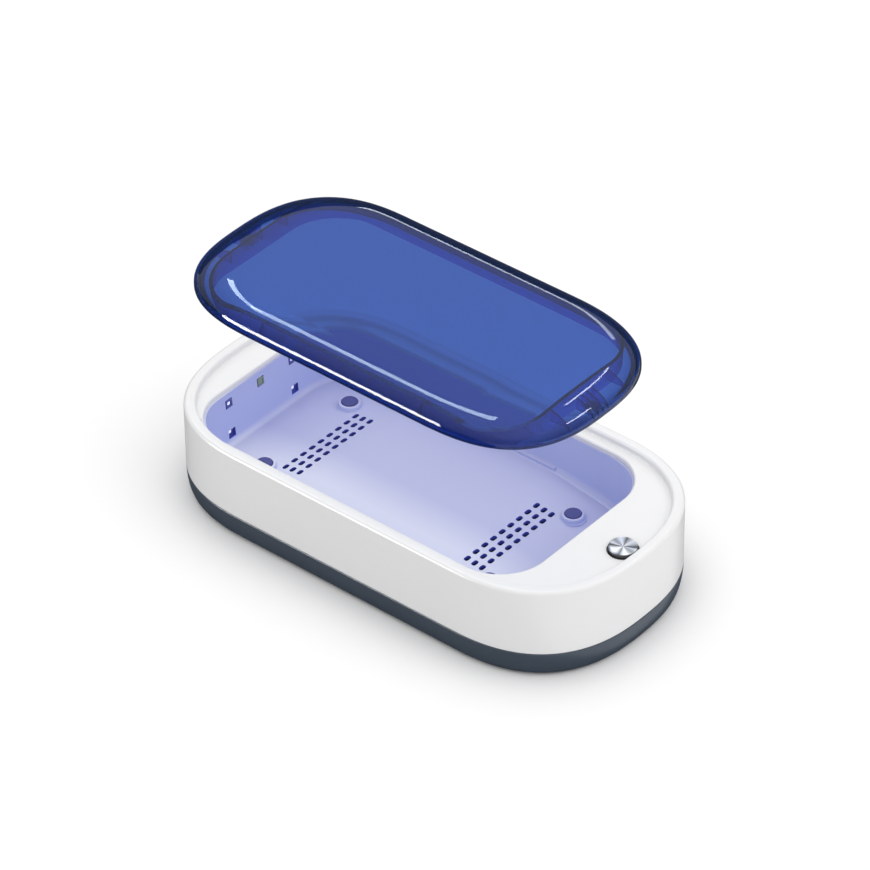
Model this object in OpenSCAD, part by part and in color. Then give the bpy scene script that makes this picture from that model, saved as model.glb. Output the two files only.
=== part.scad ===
// Lift-off-lid ultraviolet sanitizer box for a phone, with a wireless charging plate under its floor.
// Millimetres. The origin is the middle of the plan, on the surface that the feet stand on.
// +X runs towards the button, +Z is up. The lid is drawn lifted, at the top of its travel.

/* [Body] */
// Length of the box
body_len = 225; // [218:0.5:240]
// Width of the box
body_wid = 113.3; // [110:0.1:122]
// Height of the box to its rim, feet included
body_h = 44.5; // [44:0.1:50]
// Length of each rounded end, from where the straight side stops
end_depth = 56.3; // [52:0.1:60]
// Squareness of the rounded ends: 2 is an ellipse
end_power = 2.48; // [2.3:0.02:2.8]
// Height of the dark base shell
base_h = 11.7; // [11.4:0.1:14]
// How far the base tucks in at its bottom edge
base_tuck = 3; // [2:0.1:4]
// Wall of the base and of the upper housing
wall_t = 2.4; // [2:0.1:2.8]
// Floor of the base shell
floor_t = 2.2; // [1.8:0.1:2.6]
// Height of the rubber feet below the base
foot_proud = 1; // [0.6:0.1:2]
// Radius of a rubber foot
foot_r = 6; // [5:0.1:7]

/* [Chamber] */
// Margin from the opening to the outside, at the plain end
left_margin = 17.2; // [16.5:0.1:22]
// Margin from the opening to the outside, at the button end
right_margin = 32.3; // [31:0.1:40]
// Margin from the opening to the outside, at each long side
side_margin = 8.75; // [8.5:0.05:12]
// Corner radius of the opening
chamber_corner = 22; // [18:0.5:26]
// Depth from the ledge to the plateau that carries the phone
plateau_depth = 21.6; // [18:0.1:23]
// Depth from the ledge to the low end of each ramp
chamber_depth = 27; // [25:0.1:28]
// Length of the flat plateau over the charging coil
plateau_len = 75; // [72:1:84]
// Lean of the chamber walls
draft_deg = 4.9; // [2:0.1:6]
// Wall of the chamber tray
tray_t = 1.6; // [1.2:0.1:2]

/* [Rim and ledge] */
// Height of the rim above the ledge
rim_h = 3.5; // [3:0.1:5]
// Width of the rim
rim_w = 4.9; // [4.4:0.1:5.6]
// Outer rounding of the rim
rim_round = 1.8; // [1:0.1:2.4]
// Thickness of the ledge
ledge_t = 2.4; // [2.2:0.1:3]

/* [Lid] */
// Gap between the lid and the rim, at each long side
lid_fit = 1.4; // [0.8:0.1:2]
// Gap between the lid and the rim, at the plain end
lid_end_fit = 2.05; // [1.2:0.05:2.6]
// Length of each rounded end of the lid
lid_end_depth = 54.7; // [50:0.1:58]
// Squareness of the lid's ends: 2 is an ellipse
lid_power = 2.69; // [2.3:0.01:2.9]
// Wall of the lid
lid_t = 2.2; // [1.8:0.1:2.6]
// Height of the lid's upright edge
lid_edge_h = 2; // [1.5:0.1:3]
// Height of the rounded shoulder above the edge
lid_dome_h = 9; // [7:0.1:12]
// Width of the rounded shoulder along the lid's sides
lid_dome_w = 14; // [12:0.1:18]
// Width of the longer slope at the lid's ends
lid_slope_w = 36; // [30:0.5:42]
// Thickness of the lid's bottom edge
lid_edge_t = 3.4; // [3:0.1:3.6]
// How high the lid is lifted off its seat
lid_lift = 62.3; // [40:0.1:80]
// How far the lid's skirt reaches into the chamber
skirt_drop = 3; // [2:0.1:5]
// Gap between the skirt and the opening
skirt_gap = 3.2; // [2.6:0.1:4]

/* [Lamps and supports] */
// Distance between the two lamps of a row
lamp_spread = 40.2; // [36:0.2:42]
// Depth of the upper lamps below the ledge
lamp_high = 7.5; // [7:0.1:8.5]
// Depth of the lower lamps below the ledge
lamp_low = 22.5; // [21:0.1:22.5]
// Side of a lamp window
window_w = 4.2; // [3.8:0.1:4.6]
// Distance along the box between the support pads
pad_len = 121.6; // [116:0.2:126]
// Distance across the box between the support pads
pad_wid = 54.8; // [50:0.2:58]
// Radius of a support pad
pad_r = 3.65; // [3:0.05:4.2]
// Rows of cooling slots in each grid
slot_rows = 9; // [5:2:9]
// Columns of cooling slots in each grid
slot_cols = 3; // [2:1:3]
// Distance between slot rows
slot_pitch_y = 5.61; // [5.3:0.01:5.8]
// Distance between slot columns
slot_pitch_x = 3.95; // [3.6:0.05:4.1]
// Length of a slot
slot_len = 3.6; // [2.8:0.1:4]
// Width of a slot
slot_wid = 2.1; // [1.4:0.1:2.2]

/* [Button] */
// Radius of the metal cap
cap_r = 6.1; // [5.5:0.1:6.5]
// How far the cap stands above the ledge
cap_proud = 2; // [1.2:0.1:3]
// Travel of the button
button_travel = 0.7; // [0.4:0.1:1]
// Radial running gap of the cap in its bezel
cap_gap = 0.1; // [0.06:0.01:0.15]
// Wall of the bezel around the cap
bezel_t = 0.5; // [0.4:0.1:0.8]

/* [Charging plate] */
// Outer radius of the charging coil
coil_r = 22; // [18:0.5:24]
// Inner radius of the charging coil
coil_hole_r = 10; // [8:0.5:12]
// Thickness of the charging coil
coil_t = 1.2; // [0.8:0.1:1.4]
// Thickness of the ferrite sheet
ferrite_t = 0.8; // [0.6:0.1:1]
// Thickness of the coil carrier
carrier_t = 1.6; // [1.2:0.1:1.8]

/* [Boards] */
// Thickness of the circuit boards
board_t = 1.6; // [1:0.1:1.6]
// Length of the main board
main_len = 76; // [70:1:84]
// Width of the main board
main_wid = 42; // [38:1:44]
// Height of the posts under the main board
main_post_h = 3; // [2.6:0.1:3.2]
// Place of the charging socket along the back
socket_x = 30; // [20:1:40]

/* [Hidden] */

eps = 0.01;
lap = 0.4;
quarter_steps = 14;
corner_steps = 7;
round_steps = 4;

// Body
half_len = body_len / 2;
half_wid = body_wid / 2;
shift = (left_margin - right_margin) / 2;
base_z = foot_proud;
seam_z = base_z + base_h;
rim_z = body_h;
ledge_z = rim_z - rim_h;
under_ledge_z = ledge_z - ledge_t;
inner_floor_z = base_z + floor_t;
rim_inner_round = 1.2;
ledge_fillet = 0.8;
ledge_lap = 0.4;
lip_round = 1;
fit = 0.2;
tongue_h = 2;
tongue_t = 1.2;
tongue_root = 3.4;
base_steps = 6;

// Chamber
chamber_len = body_len - left_margin - right_margin;
chamber_wid = body_wid - 2 * side_margin;
plateau_z = ledge_z - plateau_depth;
ramp_end_z = ledge_z - chamber_depth;
tray_inset = 0.75;
draft = tan(draft_deg);
end_flange = 2;
side_flange = 4.5;
flange_clear = 0.5;
wall_drop = 0.5;
lip_step_h = 1.7;
lip_step_w = 1.5;
pad_t = 1;
pad_recess = 0.6;
pad_wall = 1.35;
pad_fit = 0.1;
pad_top_z = plateau_z;
pad_boss_z = pad_top_z - pad_t + pad_recess;
window_half = window_w / 2;
window_high_z = ledge_z - lamp_high;
window_low_z = ledge_z - lamp_low;
slot_col_gap = 7.85;

// Lamp boards
lamp_board_t = 1.2;
lamp_board_len = 54;
lamp_board_top_gap = 0.6;
lamp_board_bottom_gap = 2.2;
lamp_w = 3.5;
lamp_sink = 0.3;
lamp_face = half_inner_len(ledge_z - window_high_z) - lamp_sink;
lamp_board_face = half_inner_len(ledge_z - window_high_z) + tray_t + 0.4;
lamp_post_y = 9;
lamp_post_r = 2.2;
lamp_board_top = under_ledge_z - tray_t - lamp_board_top_gap;
lamp_board_bottom = ramp_end_z - tray_t + lamp_board_bottom_gap;
lamp_post_z = (window_high_z + window_low_z) / 2;

// Small screws
small_screw_r = 0.8;
small_pilot_r = 0.85;
small_clear_r = 1.1;
small_head_r = 1.6;
small_head_h = 1.1;

// Case screws and their bosses
case_screw_r = 1.45;
case_pilot_r = 1.5;
case_clear_r = 1.7;
case_head_r = 2.8;
case_head_h = 2;
case_bore_r = 3.1;
case_bore_z = base_z + 5;
case_boss_r = 3;
case_foot_r = 4.4;
case_foot_h = 6.6;
case_screw_len = 18;
case_pilot_top = case_bore_z + case_screw_len + 1;
left_boss_in = 10;
left_boss_y = 22;
right_boss_in = 16.5;
right_boss_y = 33;
case_bosses = [
    [-half_len + left_boss_in, -left_boss_y], [-half_len + left_boss_in, left_boss_y],
    [half_len - right_boss_in, -right_boss_y], [half_len - right_boss_in, right_boss_y]];

// Tray screws along the two long sides
tray_screw_pitch = 52;
tray_screw_y = chamber_wid / 2 + 3.1;
tray_pilot_depth = 1.8;
tray_screw_places = [for (sx = [-1, 0, 1], sy = [-1, 1]) [shift + sx * tray_screw_pitch, sy * tray_screw_y]];

// Feet
foot_x = 84;
foot_y = 27;
foot_t = foot_proud + 0.8;
foot_fit = 0.15;

// Charging plate
under_plateau_z = plateau_z - tray_t;
coil_air = 0.2;
coil_z = under_plateau_z - coil_air - coil_t;
ferrite_z = coil_z - ferrite_t;
carrier_z = ferrite_z - carrier_t;
ferrite_w = 48;
carrier_len = 70;
carrier_wid = 54;
carrier_post_x = 31;
carrier_post_y = 23;
carrier_post_r = 2.5;
carrier_window = 30;
carrier_corner = 3;

// Main board
main_x = socket_x - 44;
main_y = half_wid - 8.65 - main_wid;
main_z = inner_floor_z + main_post_h;
main_top = main_z + board_t;
main_hole_in = 4;
main_post_r = 2.6;
main_holes = [for (sx = [main_hole_in, main_len - main_hole_in], sy = [main_hole_in, main_wid - main_hole_in])
    [main_x + sx, main_y + sy]];

// Pieces on the main board
controller_at = [30, 14];
controller_w = 7;
driver_at = [14, 22];
driver_len = 5;
driver_wid = 4;
regulator_at = [50, 28];
regulator_len = 4;
regulator_wid = 3;
chip_h = 1.2;
inductor_at = [58, 18];
inductor_r = 4;
inductor_h = 3.2;
inductor_corner = 1.2;
inductor_groove = 0.4;
port_in = 0.4;
port_len = 4;
port_h = 2.8;

// Charging socket
socket_w = 8.9;
socket_h = 3.2;
socket_d = 7.4;
socket_wall = 0.3;
socket_sink = 1.2;
socket_y = half_wid - socket_sink - socket_d;
port_gap = 0.35;
tongue_w = 6.6;
blade_t = 0.7;
blade_l = 4.6;

// Button
bezel_r = cap_r + cap_gap + bezel_t;
bezel_fit = 0.1;
bezel_proud = 0.3;
bezel_edge = 0.2;
button_x = half_len - rim_w - bezel_r - bezel_edge;
bezel_flange_w = 1.9;
bezel_flange_h = 1;
bezel_floor_t = 0.8;
bezel_floor_z = under_ledge_z - bezel_flange_h - bezel_floor_t;
cap_top = ledge_z + cap_proud;
cap_bottom = bezel_floor_z + bezel_floor_t + button_travel + 0.9;
cap_chamfer = 0.4;
cap_dish = 0.35;
stem_r = 2.4;
stem_gap = 0.2;
stem_bottom = bezel_floor_z - 0.8;
plunger_r = 1.7;
plunger_gap = 0.1;
plunger_out = 0.9;
plunger_in = 1;
switch_w = 6;
switch_h = 3.5;
switch_top = stem_bottom - plunger_out;
button_board_top = switch_top - switch_h;
button_board_len = 32;
button_board_wid = 12;
button_post_y = 12;
button_post_r = 2.5;
sensor_off = 1.8;
sensor_w = 3;
sensor_y = 5.5;

// Lid
lid_half_len = half_len - rim_w - lid_end_fit + shift;
lid_half_wid = half_wid - rim_w - lid_fit;
seat_gap = 0.2;
lid_z = ledge_z + seat_gap + lid_lift;
lid_crown = 0.35;
lid_crown_in = 16;
lid_crown_end = 8;
crown_rise = [for (u = [0.3, 0.6, 1]) [u, lid_crown * u * (2 - u)]];
lid_steps = 7;
lid_foot = 0.7;
lid_bury = 0.6;
skirt_t = 1;
skirt_half_len = chamber_len / 2 - skirt_gap;
skirt_half_wid = chamber_wid / 2 - skirt_gap;
skirt_corner = chamber_corner + 2;
skirt_top = lid_edge_h + lid_dome_h - lid_t;
gusset_t = 0.8;
gusset_x = 42;
gusset_y = 17.5;
gusset_low = 1;
magnet_r = 3;
magnet_t = 1.4;
magnet_fit = 0.1;
magnet_x = (skirt_half_len + lid_half_len) / 2;
holder_len = 9.2;
holder_rib = 0.8;
holder_reach = 8;
holder_h = 4;

// Cables
cable_w = 5;
cable_t = 0.6;
cable_in = 10;
cable_y = main_y + cable_in;
cable_run_z = main_top + 1.4;
cable_top_z = lamp_post_z - 3;

// Half length and half width inside the tray, at a depth below the ledge
function wall_in(depth) = tray_inset + (depth - ledge_t) * draft;
function half_inner_len(depth) = chamber_len / 2 - wall_in(depth);
function half_inner_wid(depth) = chamber_wid / 2 - wall_in(depth);

// Floor height at a distance along the box from the chamber's middle
ramp_run = half_inner_len(chamber_depth) - plateau_len / 2;
function floor_z(d) = plateau_z - max(0, abs(d) - plateau_len / 2) * (plateau_z - ramp_end_z) / ramp_run;

// One quarter of an outline with straight sides and superelliptic ends
function quarter(a, b, e, power, i) =
    let (t = 90 * i / quarter_steps)
    [a - e + e * pow(max(0, cos(t)), 2 / power), b * pow(max(0, sin(t)), 2 / power)];
function mirrored(q, sx, sy, order) = [for (i = order) [sx * q[i][0], sy * q[i][1]]];
function oval(a, b, e, power) =
    let (n = quarter_steps, q = [for (i = [0:n]) quarter(a, b, e, power, i)])
    concat(q, mirrored(q, -1, 1, [n:-1:0]), mirrored(q, -1, -1, [1:n]), mirrored(q, 1, -1, [n:-1:1]));
function body_oval(inset) = oval(half_len - inset, half_wid - inset, end_depth - inset, end_power);
function lid_oval(end_in, side_in) =
    oval(lid_half_len - end_in, lid_half_wid - side_in, lid_end_depth - end_in, lid_power);

// A rectangle with round corners
function round_rect(a, b, r) = [
    for (q = [0:3], i = [0:corner_steps])
        let (t = 90 * (q + i / corner_steps), sx = (q == 0 || q == 3) ? 1 : -1, sy = (q < 2) ? 1 : -1)
        [sx * (a - r) + r * cos(t), sy * (b - r) + r * sin(t)]];
function chamber_outline(inset) =
    round_rect(chamber_len / 2 - inset, chamber_wid / 2 - inset, chamber_corner - inset);

// A quarter turn as [inset, height] steps, from an upright side to a flat top
function shoulder(w, h, steps) =
    [for (i = [0:steps]) [w * (1 - cos(90 * i / steps)), h * sin(90 * i / steps)]];

// Lofts: every ring is a list of plan points, with the height that goes with it
function lift_ring(ring, z) = [for (p = ring) [p[0], p[1], z]];
function join(lists) = [for (part = lists, item = part) item];
function band(n, a, b) = [
    for (i = [0:n - 1]) let (j = (i + 1) % n) each [[a + i, b + i, b + j], [a + i, b + j, a + j]]];
module loft(rings, heights) {
    n = len(rings[0]);
    last = (len(rings) - 1) * n;
    polyhedron(
        points = join([for (k = [0:len(rings) - 1]) lift_ring(rings[k], heights[k])]),
        faces = concat(
            [[for (i = [0:n - 1]) i], [for (i = [n - 1:-1:0]) last + i]],
            join([for (k = [0:len(rings) - 2]) band(n, k * n, (k + 1) * n)])));
}
module sleeve(rings, heights) {
    n = len(rings[0]);
    count = len(rings);
    polyhedron(
        points = join([for (k = [0:count - 1]) lift_ring(rings[k], heights[k])]),
        faces = join([for (k = [0:count - 1]) band(n, k * n, ((k + 1) % count) * n)]));
}
module body_sleeve(profile) {
    sleeve([for (p = profile) body_oval(p[0])], [for (p = profile) p[1]]);
}

module tube_at(p, r, z0, z1) {
    translate([p[0], p[1], z0]) cylinder(r = r, h = z1 - z0, $fn = 32);
}
module block(x0, x1, y0, y1, z0, z1) {
    translate([x0, y0, z0]) cube([x1 - x0, y1 - y0, z1 - z0]);
}
// A screw with its head below and its shank pointing up, the head's bearing face at z
module screw(p, z, r, len, head_r, head_h) {
    difference() {
        union() {
            tube_at(p, r, z - eps, z + len);
            tube_at(p, head_r, z - head_h, z);
        }
        translate([p[0], p[1], z - head_h - eps]) cylinder(r = head_r * 0.55, h = head_h * 0.5, $fn = 6);
    }
}
module small_screw(p, z, len) {
    screw(p, z, small_screw_r, len, small_head_r, small_head_h);
}

// ---- Base shell -------------------------------------------------------------------------------
function tuck(u, w) = w * (1 - sqrt(max(0, 1 - (1 - u) * (1 - u))));
function base_rings(extra) = [for (k = [0:base_steps])
    body_oval(extra + tuck(pow(k / base_steps, 1.6), base_tuck))];
function base_heights(z0) = [for (k = [0:base_steps]) z0 + (seam_z - z0) * pow(k / base_steps, 1.6)];

module base_tongue() {
    body_sleeve([
        [wall_t - 0.6, seam_z - tongue_root], [wall_t - 0.6, seam_z - 0.3],
        [wall_t + fit, seam_z - 0.3], [wall_t + fit, seam_z + tongue_h],
        [wall_t + fit + tongue_t, seam_z + tongue_h], [wall_t + fit + tongue_t, seam_z - tongue_root / 2]]);
}
module base_cavity() {
    loft(concat(base_rings(wall_t), [body_oval(wall_t)]), concat(base_heights(inner_floor_z), [seam_z + 1]));
}
module socket_port() {
    gap = port_gap;
    block(socket_x - socket_w / 2 - gap, socket_x + socket_w / 2 + gap, socket_y - 1, half_wid + 1,
        main_top - gap, main_top + socket_h + gap);
}
module base_shell() {
    color("#3a444e") difference() {
        union() {
            difference() {
                loft(base_rings(0), base_heights(base_z));
                base_cavity();
            }
            base_tongue();
            for (p = case_bosses) {
                tube_at(p, case_foot_r, inner_floor_z - lap, base_z + case_foot_h);
                tube_at(p, case_boss_r, inner_floor_z, seam_z);
            }
            for (p = main_holes) tube_at(p, main_post_r, inner_floor_z - lap, main_z);
        }
        for (p = case_bosses) {
            tube_at(p, case_clear_r, base_z - 1, seam_z + 1);
            tube_at(p, case_bore_r, base_z - 1, case_bore_z);
        }
        for (p = main_holes) tube_at(p, small_pilot_r, inner_floor_z + 0.4, main_z + 1);
        for (sx = [-1, 1], sy = [-1, 1])
            tube_at([sx * foot_x, sy * foot_y], foot_r + foot_fit, base_z - 1, foot_t);
        socket_port();
    }
}

// ---- Upper housing ----------------------------------------------------------------------------
module rim_and_wall() {
    outer = [for (s = shoulder(rim_round, rim_round, round_steps)) [s[0], rim_z - rim_round + s[1]]];
    inner = [for (s = shoulder(rim_inner_round, rim_inner_round, round_steps))
        [rim_w - s[0], rim_z - rim_inner_round + s[1]]];
    body_sleeve(concat(
        [[0, seam_z]],
        outer,
        [for (i = [round_steps:-1:0]) inner[i]],
        [[rim_w, ledge_z + ledge_fillet], [rim_w + ledge_fillet * 0.3, ledge_z + ledge_fillet * 0.3],
            [rim_w + ledge_fillet, ledge_z], [rim_w + ledge_fillet + ledge_lap, ledge_z],
            [rim_w + ledge_fillet + ledge_lap, under_ledge_z], [wall_t, under_ledge_z], [wall_t, seam_z]]));
}
module chamber_hole() {
    flare = shoulder(lip_round, lip_round, round_steps);
    loft(
        concat([chamber_outline(0)], [for (f = flare) chamber_outline(-f[0])], [chamber_outline(-lip_round)]),
        concat([under_ledge_z - 1], [for (f = flare) ledge_z - lip_round + f[1]], [ledge_z + 1]));
}
module ledge() {
    difference() {
        translate([0, 0, under_ledge_z]) linear_extrude(ledge_t) polygon(body_oval(rim_w + ledge_fillet));
        translate([shift, 0, 0]) chamber_hole();
    }
}
module upper_housing() {
    color("#f0f0f2") difference() {
        union() {
            rim_and_wall();
            ledge();
            for (p = case_bosses) tube_at(p, case_boss_r, seam_z, under_ledge_z + lap);
            for (s = [-1, 1])
                tube_at([button_x, s * button_post_y], button_post_r, button_board_top, under_ledge_z + lap);
        }
        for (p = case_bosses) tube_at(p, case_pilot_r, seam_z - 1, case_pilot_top);
        for (p = tray_screw_places)
            tube_at(p, small_pilot_r, under_ledge_z - 1, under_ledge_z + tray_pilot_depth);
        for (s = [-1, 1]) {
            tube_at([button_x, s * button_post_y], small_pilot_r, button_board_top - 1, under_ledge_z);
            tube_at([shift + s * magnet_x, 0], magnet_r + magnet_fit, under_ledge_z - 1,
                under_ledge_z + magnet_t);
        }
        tube_at([button_x, 0], bezel_r + bezel_fit, under_ledge_z - 1, ledge_z + 1);
    }
}

// ---- Chamber tray -----------------------------------------------------------------------------
module tray_walls() {
    top = ledge_t;
    bottom = chamber_depth + tray_t + wall_drop;
    sleeve(
        [chamber_outline(wall_in(bottom) - tray_t), chamber_outline(wall_in(top) - tray_t),
            chamber_outline(wall_in(top)), chamber_outline(wall_in(bottom))],
        [ledge_z - bottom, under_ledge_z, under_ledge_z, ledge_z - bottom]);
}
module tray_block(inset) {
    loft([chamber_outline(wall_in(chamber_depth + 4) - tray_t + inset),
            chamber_outline(wall_in(ledge_t) - tray_t + inset)],
        [ramp_end_z - 4, under_ledge_z]);
}
module tray_floor() {
    far = chamber_len / 2;
    half = plateau_len / 2;
    top = [[-far, floor_z(far)], [far, floor_z(far)], [half, plateau_z], [-half, plateau_z]];
    intersection() {
        rotate([90, 0, 0]) linear_extrude(body_wid, center = true)
            polygon([top[0], [-far, top[0][1] - tray_t], [-half, under_plateau_z],
                [half, under_plateau_z], [far, top[1][1] - tray_t], top[1], top[2], top[3]]);
        tray_block(tray_t / 2);
    }
    intersection() {
        for (s = [-1, 1])
            translate([-half, s * half_inner_wid(plateau_depth) - lip_step_w, under_plateau_z + lap])
                cube([plateau_len, 2 * lip_step_w, tray_t - lap + lip_step_h]);
        tray_block(tray_t / 2);
    }
}
module tray_flange() {
    translate([0, 0, under_ledge_z - tray_t]) linear_extrude(tray_t) difference() {
        intersection() {
            polygon(round_rect(half_inner_len(ledge_t) + tray_t + end_flange,
                half_inner_wid(ledge_t) + tray_t + side_flange, chamber_corner + end_flange));
            translate([-shift, 0]) polygon(body_oval(wall_t + flange_clear));
        }
        polygon(chamber_outline(wall_in(ledge_t) - tray_t / 2));
    }
}
function slot_x(c) = plateau_len / 2 + slot_col_gap + c * slot_pitch_x;
function slot_y(r) = (r - (slot_rows - 1) / 2) * slot_pitch_y;
module slots() {
    straight = (slot_len - slot_wid) / 2;
    for (side = [-1, 1], c = [0:slot_cols - 1], r = [0:slot_rows - 1])
        translate([side * slot_x(c), slot_y(r), ramp_end_z - 4]) linear_extrude(chamber_depth) {
            square([slot_wid, 2 * straight], center = true);
            for (s = [-1, 1]) translate([0, s * straight]) circle(slot_wid / 2, $fn = 16);
        }
}
module windows() {
    far = chamber_len / 2 + 4;
    for (side = [-1, 1], sy = [-1, 1], z = [window_low_z, window_high_z])
        translate([side * far, sy * lamp_spread / 2, z]) cube([20, window_w, window_w], center = true);
    translate([-far, 0, window_high_z]) cube([20, window_w, window_w], center = true);
}
module lamp_posts(r, x0, x1) {
    for (side = [-1, 1], sy = [-1, 1])
        translate([side * x0, sy * lamp_post_y, lamp_post_z]) rotate([0, side * 90, 0])
            cylinder(r = r, h = x1 - x0, $fn = 24);
}
module chamber_tray() {
    lamp_wall = half_inner_len(lamp_low) + tray_t / 2;
    color("#c3c8ea") translate([shift, 0, 0]) difference() {
        union() {
            tray_walls();
            tray_floor();
            tray_flange();
            for (sx = [-1, 1], sy = [-1, 1]) {
                tube_at([sx * pad_len / 2, sy * pad_wid / 2], pad_r + pad_wall,
                    floor_z(pad_len / 2) - tray_t / 2, pad_boss_z);
                tube_at([sx * carrier_post_x, sy * carrier_post_y], carrier_post_r,
                    ferrite_z, under_plateau_z + lap);
            }
            lamp_posts(lamp_post_r, lamp_wall, lamp_board_face);
        }
        slots();
        windows();
        lamp_posts(small_pilot_r, lamp_wall, lamp_board_face + 1);
        for (sx = [-1, 1], sy = [-1, 1]) {
            tube_at([sx * pad_len / 2, sy * pad_wid / 2], pad_r + pad_fit, pad_top_z - pad_t, pad_top_z + 1);
            tube_at([sx * carrier_post_x, sy * carrier_post_y], small_pilot_r, ferrite_z - 1,
                under_plateau_z + tray_t / 2);
        }
        for (p = tray_screw_places)
            tube_at([p[0] - shift, p[1]], small_clear_r, under_ledge_z - tray_t - 1, under_ledge_z + 1);
    }
}
module support_pads() {
    color("#2f3f94") for (sx = [-1, 1], sy = [-1, 1])
        translate([shift + sx * pad_len / 2, sy * pad_wid / 2, pad_top_z - pad_t]) {
            cylinder(r = pad_r, h = pad_t - 0.3, $fn = 32);
            translate([0, 0, pad_t - 0.3]) cylinder(r1 = pad_r, r2 = pad_r - 0.3, h = 0.3, $fn = 32);
        }
}

// ---- Lamps ------------------------------------------------------------------------------------
module lamp_board(side) {
    color("#2b6b4a") translate([shift, 0, 0]) difference() {
        translate([side > 0 ? lamp_board_face : -lamp_board_face - lamp_board_t, -lamp_board_len / 2,
            lamp_board_bottom])
            cube([lamp_board_t, lamp_board_len, lamp_board_top - lamp_board_bottom]);
        lamp_posts(small_clear_r, lamp_board_face - 1, lamp_board_face + lamp_board_t + 1);
    }
}
module left_lamp_board() {
    lamp_board(-1);
}
module right_lamp_board() {
    lamp_board(1);
}
module lamp_package(side, y, z) {
    depth = lamp_board_face - lamp_face;
    translate([shift + side * (lamp_board_face - depth / 2), y, z]) difference() {
        cube([depth, lamp_w, lamp_w], center = true);
        translate([-side * depth / 2, 0, 0]) cube([0.6, lamp_w - 0.8, lamp_w - 0.8], center = true);
    }
}
module uv_lamps(side) {
    color("#8d97c9") for (sy = [-1, 1], z = [window_low_z, window_high_z])
        lamp_package(side, sy * lamp_spread / 2, z);
}
module left_uv_lamps() {
    uv_lamps(-1);
}
module right_uv_lamps() {
    uv_lamps(1);
}
module phone_sensor() {
    color("#7f8f80") lamp_package(-1, 0, window_high_z);
}

// ---- Charging plate ---------------------------------------------------------------------------
module coil_carrier() {
    color("#4a4f55") translate([shift, 0, 0]) difference() {
        translate([0, 0, carrier_z]) linear_extrude(carrier_t)
            polygon(round_rect(carrier_len / 2, carrier_wid / 2, carrier_corner));
        translate([0, 0, carrier_z + carrier_t / 2]) cube([carrier_window, carrier_window, 4], center = true);
        for (sx = [-1, 1], sy = [-1, 1])
            tube_at([sx * carrier_post_x, sy * carrier_post_y], small_clear_r, carrier_z - 1, ferrite_z + 1);
    }
}
module ferrite_sheet() {
    color("#2d2d2f") translate([shift, 0, ferrite_z + ferrite_t / 2])
        cube([ferrite_w, ferrite_w, ferrite_t], center = true);
}
module charging_coil() {
    color("#b87333") translate([shift, 0, coil_z]) difference() {
        cylinder(r = coil_r, h = coil_t, $fn = 64);
        translate([0, 0, -1]) cylinder(r = coil_hole_r, h = coil_t + 2, $fn = 48);
        for (r = [coil_hole_r + 2:2:coil_r - 1]) translate([0, 0, coil_t - 0.3]) difference() {
            cylinder(r = r + 0.25, h = 1, $fn = 48);
            translate([0, 0, -1]) cylinder(r = r - 0.25, h = 3, $fn = 48);
        }
    }
}

// ---- Main board -------------------------------------------------------------------------------
module main_board() {
    color("#1f6a43") difference() {
        block(main_x, main_x + main_len, main_y, main_y + main_wid, main_z, main_top);
        for (p = main_holes) tube_at(p, small_clear_r, main_z - 1, main_top + 1);
    }
}
module chip(at, len, wid) {
    translate([main_x + at[0], main_y + at[1], main_top]) linear_extrude(chip_h) square([len, wid]);
}
module control_chips() {
    color("#26282b") {
        chip(controller_at, controller_w, controller_w);
        chip(driver_at, driver_len, driver_wid);
        chip(regulator_at, regulator_len, regulator_wid);
    }
}
module power_inductor() {
    color("#55585c") translate([main_x + inductor_at[0], main_y + inductor_at[1], main_top]) difference() {
        linear_extrude(inductor_h) polygon(round_rect(inductor_r, inductor_r, inductor_corner));
        translate([0, 0, inductor_h - inductor_groove]) difference() {
            cylinder(r = inductor_r - 1, h = 1, $fn = 32);
            translate([0, 0, -1]) cylinder(r = inductor_r - 1.6, h = 3, $fn = 32);
        }
    }
}
module board_sockets() {
    color("#e8e4d4") for (x = [main_x + port_in, main_x + main_len - port_in - port_len])
        difference() {
            block(x, x + port_len, cable_y - cable_w / 2 - 1, cable_y + cable_w / 2 + 1, main_top,
                main_top + port_h);
            block(x - 1, x + port_len + 1, cable_y - cable_w / 2 - 0.1, cable_y + cable_w / 2 + 0.1,
                cable_run_z - cable_t / 2 - 0.1, cable_run_z + cable_t / 2 + 0.1);
        }
}
module charging_socket() {
    z = main_top + socket_h / 2;
    r = socket_h / 2;
    inner = r - socket_wall;
    flat = socket_w / 2 - r;
    color("#c7cacc") translate([socket_x, socket_y, z]) rotate([-90, 0, 0]) {
        difference() {
            linear_extrude(socket_d) {
                square([2 * flat, 2 * r], center = true);
                for (s = [-1, 1]) translate([s * flat, 0]) circle(r, $fn = 32);
            }
            translate([0, 0, 1]) linear_extrude(socket_d) {
                square([2 * flat, 2 * inner], center = true);
                for (s = [-1, 1]) translate([s * flat, 0]) circle(inner, $fn = 32);
            }
        }
        translate([0, 0, 1 + blade_l / 2 - eps]) cube([tongue_w, blade_t, blade_l], center = true);
    }
}

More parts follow.
